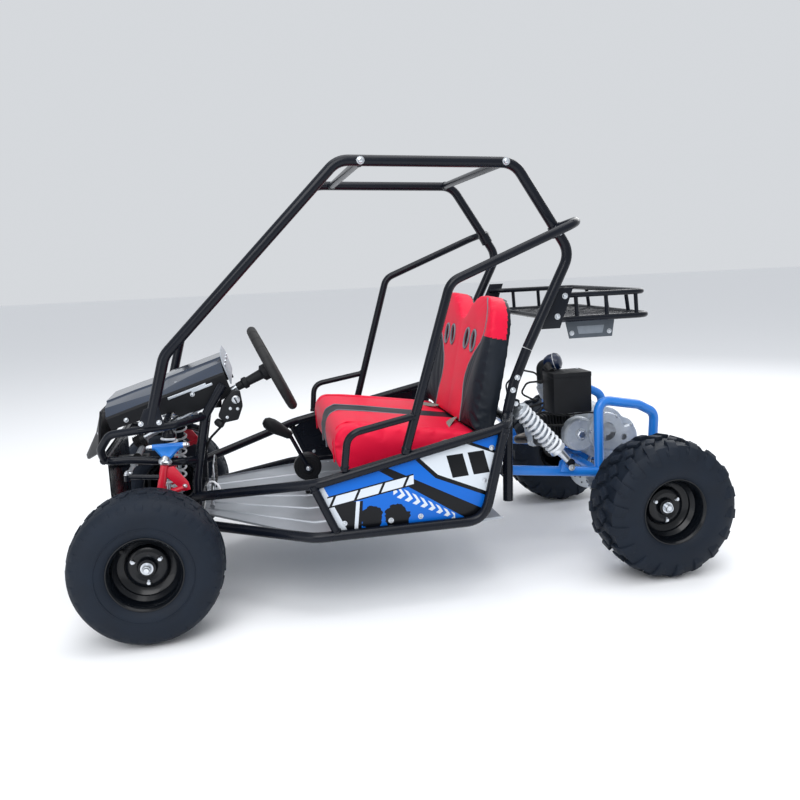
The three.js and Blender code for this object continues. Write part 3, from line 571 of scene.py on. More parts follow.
# Two ragged dark bushes grow from a dark strip along the bottom edge, about 60 mm across.
wave = add_node(panel_print, "ShaderNodeTexNoise", {"Scale": 42.0, "Detail": 3.0},
                Vector=laid_out.outputs["Vector"])
for spot, reach in (((0.084, 0, 0.040), 0.048), ((0.156, 0, 0.034), 0.052), ((0.120, 0, -0.03), 0.060)):
    flat = add_node(panel_print, "ShaderNodeVectorMath", {"operation": "MULTIPLY", "#1": (1, 0, 1)},
                    i0=laid_out.outputs["Vector"])
    away = add_node(panel_print, "ShaderNodeVectorMath", {"operation": "DISTANCE", "#1": spot},
                    i0=flat.outputs["Vector"])
    ragged = ink_sum(away.outputs["Value"], wave.outputs["Fac"], -1.0, -0.034, reach)
    ink = ink_over(ink, ink_above(ragged, 0), INK_BLACK)
# Eight white chevrons, about 20 mm apart, run down to the rear and shrink as they go.
row = ink_size(ink_sum(back, up, 0.54, 1.0, -0.1889))
arrow = ink_beat(ink_sum(back, row, 48.8, 42.0, 0.2))
fits = ink_above(ink_sum(back, row, -0.045, -1.0, 0.0232), 0)
ink = ink_over(ink, ink_both(ink_both(ink_above(arrow, 0.5), fits), ink_between(back, 0.148, 0.316)),
               INK_WHITE)
# Three slanted white bars with black edges run along the upper front.
rise = ink_sum(back, up, -0.175, 1.0, -0.097)
gap = ink_beat(ink_sum(back, rise, 15.0, -8.0, 0.3))
length = ink_between(back, -0.03, 0.205)
ink = ink_over(ink, ink_both(length, ink_between(rise, -0.016, 0.016)), INK_BLACK)
ink = ink_over(ink, ink_both(ink_both(length, ink_above(gap, 0.12)), ink_between(rise, -0.012, 0.012)),
               INK_WHITE)
panel_print.node_tree.links.new(ink, shader.inputs["Base Color"])

PANEL = [(-440, 352), (-498, 226), (-892, 226), (-915, 246), (-962, 470), (-700, 424), (-500, 385)]
for side, hand in ((1, "left"), (-1, "right")):
    shape = bmesh.new()
    stand = side_face(side * 452.8 + 1.3)
    add_slab(shape, PANEL, 2.6, stand, soften=0.4)
    backing = side_face(side * 451.2 + 0.3)
    add_slab(shape, PANEL, 0.6, backing, soften=0, mat=2)
    for x, z in ((-510, 257), (-718, 255), (-900, 338)):
        add_bolt(shape, at(x, side * 450.9, z), (0, -side, 0), 4.5, mat=1)
    for x, z in ((-510, 257), (-636, 252), (-718, 255), (-900, 338), (-924, 427)):
        add_bolt(shape, at(x, side * 454.3, z), (0, side, 0), 5.5, mat=1)
    piece(f"side_panel_sheet_{hand}", shape, [panel_print, zinc, powder_black], "chassis",
          [f"side_panel_{hand}"])


# ---- Hood --------------------------------------------------------------------------------------
# A moulded shell of thin dark blue plastic with a raised flat ridge, a slanted shoulder on each
# side and a dropped flank with two vents. It clips over the front frame; a black slab closes the nose.
# Painted ABS under clear lacquer: near black-blue in the shade, pale blue where it catches light.
hood_blue, shader = new_material("lacquered_abs_night_blue")
shader.inputs["Roughness"].default_value = 0.16
shader.inputs["Coat Weight"].default_value = 0.3
shader.inputs["Coat Roughness"].default_value = 0.04
mottle(hood_blue, shader, "#08182B", "#0D233C", 160, bump=0.02, bump_mm=6)

# Moulded black plastic: a dense fine grain about 0.6 mm across, drawn a little coarser to show.
black_plastic, shader = new_material("moulded_plastic_black")
shader.inputs["Specular IOR Level"].default_value = 0.18
mottle(black_plastic, shader, "#101114", "#191B1F", 40, bump=0.12, bump_mm=1.2, rough=(0.42, 0.58))

HOOD_REAR, HOOD_FRONT = at(-212, 0, 680), at(115, 0, 575)
hood_along = (HOOD_FRONT - HOOD_REAR).normalized()
hood_up = Vector((-hood_along.z, 0, hood_along.x))


def soften_creases(made, width):
    """Rounds the folds of a moulded shell."""
    crease = made.modifiers.new("soft_creases", "BEVEL")
    crease.width = width
    crease.segments = 2
    crease.limit_method = "ANGLE"
    crease.angle_limit = math.radians(12)


def hood_point(share, y, rise):
    return HOOD_REAR.lerp(HOOD_FRONT, share) + Vector((0, y / 1000, 0)) + hood_up * rise / 1000


shape = bmesh.new()
rows = []
for share, ridge, shoulder, drop, skirt in ((0.0, 74, 150, 9, 98), (0.3, 78, 160, 14, 104),
                                            (0.47, 84, 172, 20, 98), (0.5, 84, 172, 20, 82),
                                            (0.75, 90, 168, 17, 70), (1.0, 96, 160, 12, 66)):
    lift = 3 if 0.47 < share < 0.6 else 6
    half = [(ridge, lift), (ridge + 8, lift - 5), (shoulder, lift - drop), (200, -27), (203, -34),
            (200, -skirt)]
    section = [(-y, r) for y, r in reversed(half)] + half
    rows.append([shape.verts.new(hood_point(share, y, rise)) for y, rise in section])
for front, back in zip(rows, rows[1:]):
    for a, b, c, d in zip(front, front[1:], back[1:], back):
        shape.faces.new((a, b, c, d))
bmesh.ops.recalc_face_normals(shape, faces=shape.faces)
for face in shape.faces:
    if abs(face.calc_center_median().y) > 0.2005:
        face.material_index = 1
bmesh.ops.solidify(shape, geom=shape.faces[:], thickness=0.004)
for side in (1, -1):
    # Each vent is a bright silver bar: a painted highlight standing for the lit slot.
    for share, length in ((0.17, 112), (0.12, 62)):
        middle = hood_point(share + length / 700, side * 203.5, -41 - 110 * (0.17 - share))
        vent = Matrix.Translation(middle) @ Matrix((hood_along, (0, 1, 0), hood_up)).transposed().to_4x4()
        add_box(shape, (-length / 2, -2, -4), (length / 2, 2, 4), 1.6, mat=2, transform=vent)
    for share in (0.30, 0.86):
        add_bolt(shape, hood_point(share, side * 203, -54), (0, side, 0), 5, mat=3)
    add_bolt(shape, hood_point(0.40, side * 150, -14), hood_up, 6, mat=3)
# Satin silver: the rear dampers' metal, and bright bars in the hood vents as painted highlight.
silver_and_vent_highlight, shader = new_material("satin_silver_and_vent_highlight")
shader.inputs["Metallic"].default_value = 0.8
mottle(silver_and_vent_highlight, shader, "#AEB5BD", "#C8CED5", 20, rough=(0.25, 0.35))
hood = piece("hood_shell", shape, [hood_blue, black_plastic, silver_and_vent_highlight, zinc], "chassis",
             ["hood"], smooth=18)
soften_creases(hood, 0.0015)

shape = bmesh.new()
rows = []
for drop in (0, 0.12, 0.5, 0.86, 1):
    row = []
    for y, low_x, low_z in ((-196, 140, 452), (-100, 187, 417), (0, 208, 408), (100, 187, 417),
                            (196, 140, 452)):
        x, z = 122 + (low_x - 126) * drop, 566 + (low_z - 566) * drop
        row.append(shape.verts.new(at(x, y, z)))
    rows.append(row)
for front, back in zip(rows, rows[1:]):
    for a, b, c, d in zip(front, front[1:], back[1:], back):
        shape.faces.new((a, b, c, d))
bmesh.ops.recalc_face_normals(shape, faces=shape.faces)
bmesh.ops.solidify(shape, geom=shape.faces[:], thickness=0.006)
for side in (1, -1):
    add_bolt(shape, at(135, side * 160, 500), (0.98, 0, 0.19), 5, mat=1)
nose_piece = piece("nose_slab", shape, [black_plastic, zinc], "chassis", ["nose_cowl"], smooth=20)
soften_creases(nose_piece, 0.002)


# ---- Dash and switch box -----------------------------------------------------------------------
# A light grey sheet stands up behind the hood. The switch box
# hangs below it by the driver, with the key, a choke knob and its screws.
# Satin grey powder coat on sheet: flat, light and slightly metallic.
dash_grey, shader = new_material("satin_grey_sheet")
shader.inputs["Metallic"].default_value = 0.3
mottle(dash_grey, shader, "#9299A2", "#AAB1BA", 60, bump=0.05, bump_mm=2, rough=(0.32, 0.45))
shape = bmesh.new()
dash_place = Matrix.Translation(at(-220, 0, 680)) @ Matrix(
    ((0, 1, 0), hood_up, Vector((0, 1, 0)).cross(hood_up))).transposed().to_4x4()
add_slab(shape, [(-190, -66), (190, -66), (196, 0), (120, 22), (-120, 22), (-196, 0)], 3, dash_place)
for y in (-150, -50, 50, 150):
    add_bolt(shape, dash_place @ Vector((y / 1000, -0.012, 0)), dash_place.to_3x3() @ Vector((0, 0, -1)),
             4.5, mat=1)
piece("dash_sheet", shape, [dash_grey, zinc], "chassis", ["dash_panel"])

shape = bmesh.new()
box_side = side_face(236)
add_slab(shape, [(-262, 600), (-238, 603), (-214, 574), (-197, 534), (-212, 514), (-252, 520), (-267, 558)],
         30, box_side, soften=4)
add_turned(shape, [(0, 0), (0, 12), (2.5, 11), (3, 9.5), (1, 9), (1, 0)], at(-249, 234.5, 578), (0, 1, 0),
           mat=1)
for x, z in ((-252, 552), (-232, 554), (-222, 530)):
    add_bolt(shape, at(x, 235.5, z), (0, 1, 0), 3.2, mat=1)
add_tube(shape, [at(-240, 222, 548), at(-205, 226, 505), at(-170, 214, 470), at(-140, 204, 400)], 0.0035,
         bend=0.05, fine=2)
add_turned(shape, [(0, 0), (0, 8), (6, 11), (22, 10), (26, 6), (26, 0)], at(-190, 221, 520),
           (-0.5, 0.3, -0.4))
piece("switch_box_housing", shape, [black_plastic, zinc], "chassis", ["switch_box"])

shape = bmesh.new()
add_turned(shape, [(0, 0), (0, 9), (5.5, 9), (6.4, 8), (6.4, 0)], at(-249, 236.6, 578), (0, 1, 0), steps=24)
key_blade = Matrix.Translation(at(-249, 243, 578)) @ Matrix.Rotation(math.radians(25), 4, "Y")
add_box(shape, (-1.1, 0, -6), (1.1, 9, 6), 0.5, transform=key_blade)
add_box(shape, (-1.5, 8, -8.5), (1.5, 18.5, 8.5), 1.4, transform=key_blade, mat=1)
piece("ignition_key_and_barrel", shape, [zinc, black_plastic], "key", ["ignition_key"])


# ---- Seat --------------------------------------------------------------------------------------
# A bench for two: one padded back with a rounded lobe for each rider, slotted for harness belts,
# and one deep cushion. Foam under vinyl, crimson down the middle and charcoal at the bolsters.
BACK_FOOT = at(-984, 0, 444)
back_up = Vector((-0.207, 0, 0.978))
back_out = Vector((0.978, 0, 0.207))
LOBE = [(318, -12), (320, 120), (319, 240), (312, 290), (300, 325), (280, 350), (255, 368), (222, 379),
        (186, 381), (148, 378), (112, 369), (80, 352), (54, 334), (34, 316), (14, 306), (0, 304)]
BELT_SLOTS = [(84, 242, -18), (158, 240, -3)]
SEAM = [(156, -10), (150, 50), (134, 100), (135, 132), (154, 168), (193, 208), (238, 242), (258, 272),
        (261, 310), (252, 345), (232, 374)]


def back_point(y, rise, depth):
    return BACK_FOOT + Vector((0, y / 1000, 0)) + back_up * rise / 1000 + back_out * depth / 1000


def belt_slot(y, rise, lean, grow=0, count=16):
    """The points round one harness slot, an upright oval that leans a little."""
    ring = []
    for step in range(count):
        turn_by = math.tau * step / count
        a, b = (21 + grow) * math.cos(turn_by), (31 + grow) * math.sin(turn_by)
        tilt = math.radians(lean)
        ring.append((y + a * math.cos(tilt) - b * math.sin(tilt),
                     rise + a * math.sin(tilt) + b * math.cos(tilt)))
    return ring


def near_line(point, line):
    """Distance from a flat point to a line of points."""
    best = 1e9
    for (ax, ay), (bx, by) in zip(line, line[1:]):
        dx, dy = bx - ax, by - ay
        t = max(0, min(1, ((point[0] - ax) * dx + (point[1] - ay) * dy) / (dx * dx + dy * dy)))
        best = min(best, math.hypot(point[0] - ax - dx * t, point[1] - ay - dy * t))
    return best


COVER_FRAMES = 20


def puffed(pad, voxel, held, limit):
    """Remeshes a pad evenly and lets its cover swell over the foam, held at its seams."""
    remesh = pad.modifiers.new("even_mesh", "REMESH")
    remesh.mode = "VOXEL"
    remesh.voxel_size = voxel
    graph = bpy.context.evaluated_depsgraph_get()
    even = bpy.data.meshes.new_from_object(pad.evaluated_get(graph))
    pad.modifiers.clear()
    pad.data = even
    relax = bmesh.new()
    relax.from_mesh(even)
    for _ in range(3):
        bmesh.ops.smooth_vert(relax, verts=relax.verts, factor=0.5, use_axis_x=True, use_axis_y=True,
                              use_axis_z=True)
    relax.to_mesh(even)
    relax.free()
    rest_places = [v.co.copy() for v in even.vertices]
    pins = pad.vertex_groups.new(name="seams")
    for index, place in enumerate(rest_places):
        weight = held(place)
        if weight > 0:
            pins.add([index], weight, "REPLACE")
    cloth = pad.modifiers.new("cover", "CLOTH")
    cloth.settings.use_pressure = True
    cloth.settings.uniform_pressure_force = 3
    cloth.settings.effector_weights.gravity = 0
    cloth.settings.vertex_group_mass = "seams"
    cloth.settings.quality = 4
    cloth.point_cache.frame_start = 1
    cloth.point_cache.frame_end = COVER_FRAMES
    for step in range(1, COVER_FRAMES + 1):
        bpy.context.scene.frame_set(step)
    graph = bpy.context.evaluated_depsgraph_get()
    swollen = bpy.data.meshes.new_from_object(pad.evaluated_get(graph))
    pad.modifiers.clear()
    pad.vertex_groups.clear()
    for vertex, place in zip(swollen.vertices, rest_places):
        move = vertex.co - place
        if move.length > limit:
            vertex.co = place + move.normalized() * limit
    pad.data = swollen
    bpy.context.scene.frame_set(1)


def vinyl_pad(name, shape, voxel, held, limit, zone, materials, node):
    """Turns a closed block into a sewn, padded piece with each panel in its own vinyl."""
    mesh = bpy.data.meshes.new(name)
    bmesh.ops.recalc_face_normals(shape, faces=shape.faces)
    shape.to_mesh(mesh)
    shape.free()
    pad = bpy.data.objects.new(name, mesh)
    bpy.context.scene.collection.objects.link(pad)
    bpy.context.view_layer.update()
    puffed(pad, voxel, held, limit)
    pad.data.name = name
    pad.data.materials.clear()
    for material in materials:
        pad.data.materials.append(material)
    fine = bmesh.new()
    fine.from_mesh(pad.data)
    bmesh.ops.subdivide_edges(fine, edges=fine.edges, cuts=1, use_grid_fill=True, smooth=0.4)
    for face in fine.faces:
        face.material_index = zone(face.calc_center_median())
    fine.to_mesh(pad.data)
    fine.free()
    pad.data.shade_smooth()
    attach(pad, "chassis")
    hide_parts(node)
    return pad


# Expanded vinyl on foam: a pebbled leather grain about 1.5 mm across with a soft, low sheen.
def vinyl(name, dark, light):
    material, shader = new_material(name)
    shader.inputs["Specular IOR Level"].default_value = 0.2
    place = mottle(material, shader, dark, light, 70, rough=(0.42, 0.55))
    pebble = add_node(material, "ShaderNodeTexVoronoi", {"Scale": 650.0, "Randomness": 0.9},
                      Vector=place.outputs["Object"])
    relief = add_node(material, "ShaderNodeBump", {"Strength": 0.18, "Distance": 0.0005},
                      Height=pebble.outputs["Distance"])
    material.node_tree.links.new(relief.outputs["Normal"], shader.inputs["Normal"])
    return material


crimson_vinyl = vinyl("vinyl_crimson", "#CC0830", "#E4143F")
charcoal_vinyl = vinyl("vinyl_charcoal", "#10151C", "#1A212B")
# Grey welt cord and belt-slot bezels: soft grey plastic, slightly glossy.
grey_welt = vinyl("welt_cord_grey", "#5F656D", "#7B8189")

shape = bmesh.new()
outline = LOBE + [(-y, rise) for y, rise in reversed(LOBE[:-1])]
loops = [outline] + [belt_slot(y * side, rise, lean * side)
                     for side in (1, -1) for y, rise, lean in BELT_SLOTS]
edges = []
for loop in loops:
    ring = [shape.verts.new(back_point(y, rise, 8)) for y, rise in loop]
    edges += [shape.edges.new((a, b)) for a, b in zip(ring, ring[1:] + ring[:1])]
filled = bmesh.ops.triangle_fill(shape, use_beauty=True, edges=edges)
grown = bmesh.ops.extrude_face_region(shape,
                                      geom=[f for f in filled["geom"] if isinstance(f, bmesh.types.BMFace)])
bmesh.ops.translate(shape, vec=back_out * 0.062,
                    verts=[v for v in grown["geom"] if isinstance(v, bmesh.types.BMVert)])


def back_flat(place):
    """A point's sideways place, height and depth on the seat back, in millimetres."""
    off = (place - BACK_FOOT) * 1000
    return off.y, off.dot(back_up), off.dot(back_out)


def back_held(place):
    y, rise, depth = back_flat(place)
    if depth < 16:
        return 1.0
    seam = near_line((abs(y), rise), SEAM)
    middle = abs(y) if rise < 300 else 99
    slot = min(math.hypot((abs(y) - sy) / 29, (rise - sr) / 39) for sy, sr, _ in BELT_SLOTS)
    return 1.0 if (seam < 5 or slot < 1 or middle < 4) and depth > 45 else 0.0


def seam_y(rise):
    """How far out the crimson panel reaches at a height on the back."""
    for (y0, r0), (y1, r1) in zip(SEAM, SEAM[1:]):
        if r0 <= rise <= r1:
            return y0 + (y1 - y0) * (rise - r0) / (r1 - r0)
    return SEAM[0][0] if rise < SEAM[0][1] else SEAM[-1][0]


def back_zone(place):
    y, rise, depth = back_flat(place)
    headrest = rise > 262 and depth > 20 + (rise - 262) * 0.02
    return 0 if headrest or abs(y) < seam_y(rise) and depth > 18 else 1


vinyl_pad("seat_back_pad", shape, 0.0065, back_held, 0.014, back_zone, [crimson_vinyl, charcoal_vinyl],
          "seat_back")

shape = bmesh.new()
for side in (1, -1):
    add_tube(shape, [back_point(y * side, rise, 69.5) for y, rise in SEAM], 0.0024, bend=0.03, fine=2)
    for y, rise, lean in BELT_SLOTS:
        ring = belt_slot(y * side, rise, lean * side, grow=2, count=28)
        add_tube(shape, [back_point(a, b, 70) for a, b in ring], 0.0036, bend=0, fine=3, closed=True)
        rear = belt_slot(y * side, rise, lean * side, grow=1, count=28)
        add_tube(shape, [back_point(a, b, 11) for a, b in rear], 0.0035, bend=0, fine=2, closed=True)
        for step in range(4):
            wall = belt_slot(y * side, rise, lean * side, grow=-2, count=28)
            add_tube(shape, [back_point(a, b, 22 + step * 13) for a, b in wall], 0.0055, bend=0, fine=2,
                     closed=True, mat=1)
piece("seat_back_welt_and_slots", shape, [grey_welt, black_plastic], "chassis", smooth=60)

CUSHION = [(-519, 374), (-513, 400), (-511, 440), (-515, 468), (-530, 486), (-548, 494), (-640, 482),
           (-932, 438), (-934, 356), (-560, 354)]
shape = bmesh.new()
ring = [shape.verts.new(at(x, -314, z)) for x, z in CUSHION]
face = shape.faces.new(ring)
grown = bmesh.ops.extrude_face_region(shape, geom=[face])
bmesh.ops.translate(shape, vec=(0, 0.628, 0),
                    verts=[v for v in grown["geom"] if isinstance(v, bmesh.types.BMVert)])
CUSHION_SEAMS = (52, 262)


def cushion_held(place):
    off = (place - FRONT_AXLE) * 1000
    if off.z < 366 or off.x < -925:
        return 1.0
    cross = abs(off.x + 640) < 4 and abs(off.y) < 262 and off.z > 440
    return 1.0 if cross or min(abs(abs(off.y) - seam) for seam in CUSHION_SEAMS) < 4 else 0.0


def cushion_zone(place):
    off = (place - FRONT_AXLE) * 1000
    return 1 if abs(off.y) < CUSHION_SEAMS[0] or off.z < 362 or off.x < -922 else 0


vinyl_pad("seat_cushion_pad", shape, 0.0075, cushion_held, 0.010, cushion_zone,
          [crimson_vinyl, charcoal_vinyl], "seat_cushion")

shape = bmesh.new()
for y in (-262, -52, 52, 262):
    add_tube(shape, [at(x, y, z) for x, z in ((-512, 380), (-510.5, 436), (-524, 482), (-552, 495),
                                              (-640, 483), (-922, 436))],
             0.0022, bend=0.02, fine=2, mat=0 if abs(y) < 60 else 1)
# A covered strip closes the gap under the back.
add_box(shape, (-976, -300, 404), (-936, 300, 432), 4, mat=2)
piece("seat_cushion_welt", shape, [grey_welt, crimson_vinyl, charcoal_vinyl], "chassis",
      smooth=60)

# Lap belts: grey woven webbing, 38 mm wide, that lies across the back of the cushion.
webbing, shader = new_material("woven_webbing_grey")
shader.inputs["Roughness"].default_value = 0.75
place = add_node(webbing, "ShaderNodeTexCoord")
ribs = add_node(webbing, "ShaderNodeTexWave", {"Scale": 160.0, "Distortion": 0.4,
                                               "bands_direction": "DIAGONAL"},
                Vector=place.outputs["Object"])
tone = add_node(webbing, "ShaderNodeMix", {"data_type": "RGBA", "#6": srgb("#5E5B57"),
                                           "#7": srgb("#8A857E")},
                Factor=ribs.outputs["Fac"])
webbing.node_tree.links.new(tone.outputs[2], shader.inputs["Base Color"])
shape = bmesh.new()
for side in (1, -1):
    path = [(-912, 110, 452), (-890, 150, 452), (-862, 210, 450), (-838, 262, 444), (-822, 300, 440),
            (-815, 322, 424), (-815, 328, 396)]
    rows = []
    for index, (x, y, z) in enumerate(path):
        lean = 17 if index < 5 else 19
        rows.append((shape.verts.new(at(x - lean * 0.9, side * y, z + 3)),
                     shape.verts.new(at(x + lean * 0.9, side * y, z - 3))))
    for (a, b), (c, d) in zip(rows, rows[1:]):
        shape.faces.new((a, b, d, c))
bmesh.ops.recalc_face_normals(shape, faces=shape.faces)
bmesh.ops.solidify(shape, geom=shape.faces[:], thickness=-0.002)
belts = piece("lap_belts", shape, [webbing], "chassis", smooth=60)
bend_soft = belts.modifiers.new("soft_folds", "SUBSURF")
bend_soft.levels = bend_soft.render_levels = 2


# ---- Luggage rack ------------------------------------------------------------------------------
# A welded tray of two bent loops and short posts behind the seat, floored with expanded mesh. Two
# cut plates bolt it to the cage; a grey carrier plate hangs below it for the battery.
shape = bmesh.new()
for rear_x, z, radius in ((-1470, 822, 8), (-1482, 752, 9)):
    loop = [(-1172, 318, z), (-1200, 285, z), (rear_x, 285, z), (rear_x, -285, z), (-1200, -285, z),
            (-1172, -318, z)]
    add_tube(shape, sided(loop, 1), radius / 1000, bend=0.045, fine=4)
add_cross(shape, -1196, 288, 752, 8)
for x in (-1250, -1345, -1440):
    for side in (1, -1):
        add_tube(shape, [at(x, side * 285, 752), at(x + 4, side * 285, 822)], 0.006, bend=0, fine=3)
for y in (-150, 0, 150):
    add_tube(shape, [at(-1480, y, 752), at(-1470, y, 822)], 0.006, bend=0, fine=3)
for y in (-142, 0, 142):
    add_tube(shape, [at(-1196, y, 748), at(-1478, y, 748)], 0.005, bend=0, fine=2)
for side in (1, -1):
    bracket = side_face(side * 323.5 + 2.5)
    add_slab(shape, [(-1118, 730), (-1172, 846), (-1222, 846), (-1180, 730)], 5, bracket)
    for x, z in ((-1196, 822), (-1172, 764)):
        add_bolt(shape, at(x, side * 326.5, z), (0, side, 0), 6.5, mat=1)
hanger = side_face(252)
add_slab(shape, [(-1226, 742), (-1384, 742), (-1376, 690), (-1238, 690)], 3, hanger, mat=2)
add_slab(shape, [(-1262, 726), (-1350, 726), (-1344, 702), (-1268, 702)], 1,
         Matrix.Translation((0, 0.0012, 0)) @ hanger, mat=3)
for x in (-1246, -1366):
    add_bolt(shape, at(x, 252.5, 706), (0, 1, 0), 5.5, mat=1)
# Grey primer-coated plate, flat and dull, with a lighter worn patch.
primer_grey, shader = new_material("primer_coated_plate_grey")
mottle(primer_grey, shader, "#3D444C", "#4C545D", 30, rough=(0.5, 0.65))
worn_grey, shader = new_material("worn_plate_pale_grey")
mottle(worn_grey, shader, "#6B737C", "#7F8790", 14, rough=(0.5, 0.65))
piece("luggage_rack_tubes", shape, [powder_black, zinc, primer_grey, worn_grey], "chassis",
      ["luggage_rack"])

# The floor's strands run both ways in long diamonds, 34 mm by 17 mm, as expanded sheet does.
shape = bmesh.new()
bmesh.ops.create_grid(shape, x_segments=16, y_segments=32, size=0.5)
bmesh.ops.scale(shape, vec=(0.272, 0.556, 1), verts=shape.verts)
bmesh.ops.poke(shape, faces=shape.faces[:])
straight = [e for e in shape.edges if len(e.verts[0].link_edges) > 4 and len(e.verts[1].link_edges) > 4
            and not e.is_boundary]
bmesh.ops.dissolve_edges(shape, edges=[e for e in straight if e.is_valid], use_verts=False)
bmesh.ops.translate(shape, vec=at(-1338, 0, 751.5), verts=shape.verts)
mesh_floor = piece("rack_mesh_floor", shape, [powder_black], "chassis")
strands = mesh_floor.modifiers.new("strands", "WIREFRAME")
strands.thickness = 0.0032
strands.use_even_offset = False


# ---- Steering ----------------------------------------------------------------------------------
# A padded 268 mm wheel on a splined hub turns a steel column, with a moulded cover below the hub
# and a rubber-booted joint down at the rack. The rack slides in its clamp on the front shelf.
# Foam rubber grip: matt black with a fine skin and a soft sheen.
grip_rubber, shader = new_material("foam_rubber_grip")
mottle(grip_rubber, shader, "#0C0D0F", "#141518", 20, bump=0.2, bump_mm=1.5, rough=(0.6, 0.75))
WHEEL_HUB = at(-357, 170, 652)
wheel_axis = Vector((-0.906, 0, 0.4233)).normalized()
wheel_turn = Matrix(((0, 1, 0), wheel_axis.cross(Vector((0, 1, 0))), wheel_axis)).transposed()
wheel_place = Matrix.Translation(WHEEL_HUB) @ wheel_turn.to_4x4()


def round_loop(place, radius):
    """Sixty-four points round a circle that lies across a placed axis."""
    turns = [math.tau * i / 64 for i in range(64)]
    return [place @ Vector((radius * math.cos(a), radius * math.sin(a), 0)) for a in turns]


shape = bmesh.new()
add_tube(shape, round_loop(wheel_place, 0.121), 0.0132, bend=0, fine=5, closed=True)
for i in range(24):
    turn_by = math.tau * (i + 0.5) / 24
    out = wheel_place.to_3x3() @ Vector((math.cos(turn_by), math.sin(turn_by), 0))
    side_way = wheel_axis.cross(out)
    add_turned(shape, [(-1.2, 12.4), (-0.8, 13.6), (0.8, 13.6), (1.2, 12.4)], WHEEL_HUB + out * 0.121,
               side_way, steps=16)
add_turned(shape, [(-14, 0), (-14, 30), (-4, 42), (6, 42), (12, 34), (14, 20), (14, 0)], WHEEL_HUB,
           wheel_axis, mat=1)
for turn_by in (0, math.pi, math.pi / 2):
    lean = wheel_place @ Matrix.Rotation(turn_by, 4, "Z")
    add_slab(shape, [(32, -15), (112, -9), (112, 9), (32, 15)], 4,
             lean @ Matrix.Translation((0, 0, -0.002)), mat=1)
    add_turned(shape, [(1.5, 0), (1.5, 6), (2.6, 6), (3, 4), (3, 0)], lean @ Vector((0.07, 0, 0)),
               wheel_axis, steps=16, mat=2)
piece("steering_wheel_rim_and_spokes", shape, [grip_rubber, black_plastic, zinc], "steering",
      ["steering_wheel"])

# Drawn steel bar: bright, lightly oiled, with a fine grain.
drawn_steel, shader = new_material("drawn_steel_bright")
shader.inputs["Metallic"].default_value = 1.0
mottle(drawn_steel, shader, "#9DA3AA", "#C3C8CE", 8, bump=0.05, bump_mm=1, rough=(0.25, 0.4))
column_top = WHEEL_HUB - wheel_axis * 0.0145
shape = bmesh.new()
add_tube(shape, [column_top, WHEEL_HUB - wheel_axis * 0.432], 0.009, bend=0, fine=4)
add_turned(shape, [(0, 9), (0, 24), (-14, 24), (-20, 15), (-62, 13), (-66, 17), (-76, 17), (-80, 12),
                   (-96, 11.5), (-98, 9.2)], WHEEL_HUB - wheel_axis * 0.016, wheel_axis, mat=1)
add_turned(shape, [(-407, 9), (-407, 15), (-419, 15), (-419, 9)], WHEEL_HUB, wheel_axis, mat=1)
for step in range(4):
    add_turned(shape, [(-419 - step * 5, 9), (-419 - step * 5, 13), (-421.5 - step * 5, 17),
                       (-424 - step * 5, 13), (-424 - step * 5, 9)], WHEEL_HUB, wheel_axis, steps=24, mat=2)
piece("steering_column", shape, [drawn_steel, black_plastic, grip_rubber], "steering",
      ["steering_shaft"])

shape = bmesh.new()
add_tube(shape, [at(50, -130, 401), at(50, 130, 401)], 0.0088, bend=0, fine=4)
for y in range(-50, 51, 6):
    add_box(shape, (44, y - 1.5, 408.5), (56, y + 1.5, 411), 0.4)
for side in (1, -1):
    for step in range(6):
        add_turned(shape, [(0, 9), (0, 11), (3, 13.5), (6, 11), (6, 9)],
                   at(50, side * (66 + step * 8), 401), (0, side, 0), steps=20, mat=1)
piece("steering_rack_bar", shape, [drawn_steel, grip_rubber], "rack", ["steering_rack"])

for side, hand in ((1, "left"), (-1, "right")):
    shape = bmesh.new()
    add_tube(shape, [at(50, side * 146, 401), at(50, side * 272, 401)], 0.006, bend=0, fine=3)
    add_turned(shape, [(0, 0), (0, 9), (18, 9), (18, 0)], at(41, side * 139, 401), (1, 0, 0), steps=20)
    for y in (154, 258):
        add_turned(shape, [(0, 5.9), (0, 9.5), (7, 9.5), (7, 5.9)], at(50, side * y, 401), (0, side, 0),
                   steps=6)
    add_turned(shape, [(-9, 5), (-9, 8), (-6, 9.5), (6, 9.5), (9, 8), (9, 5)], at(50, side * 279, 401),
               (1, 0, 0), steps=20)
    add_turned(shape, [(0, 0), (0, 5), (16, 5), (16, 0)], at(42, side * 279, 401), (1, 0, 0), steps=6)
    piece(f"tie_rod_bar_{hand}", shape, [zinc], f"tie_rod_{hand}", [f"tie_rod_{hand}"])


# ---- Front suspension --------------------------------------------------------------------------
# On each side a black lower arm and a blue upper arm carry a red welded knuckle between two ball
# joints, and a damper with a white coil spring stands between the lower arm and the frame.
# Gloss enamels over steel: the blue is clean and bright, the red deep; both flow smooth.
blue_enamel, shader = new_material("gloss_enamel_blue")
shader.inputs["Coat Weight"].default_value = 0.15
shader.inputs["Coat Roughness"].default_value = 0.08
mottle(blue_enamel, shader, "#126AC4", "#1D7CD6", 120, bump=0.02, bump_mm=5, rough=(0.28, 0.38))
red_enamel, shader = new_material("gloss_enamel_red")
shader.inputs["Coat Weight"].default_value = 0.12
mottle(red_enamel, shader, "#B30D28", "#CC1532", 80, bump=0.02, bump_mm=5, rough=(0.3, 0.42))
white_coat, shader = new_material("powder_coat_white")
mottle(white_coat, shader, "#CDD2D8", "#E6E9ED", 30, bump=0.03, bump_mm=3, rough=(0.3, 0.42))


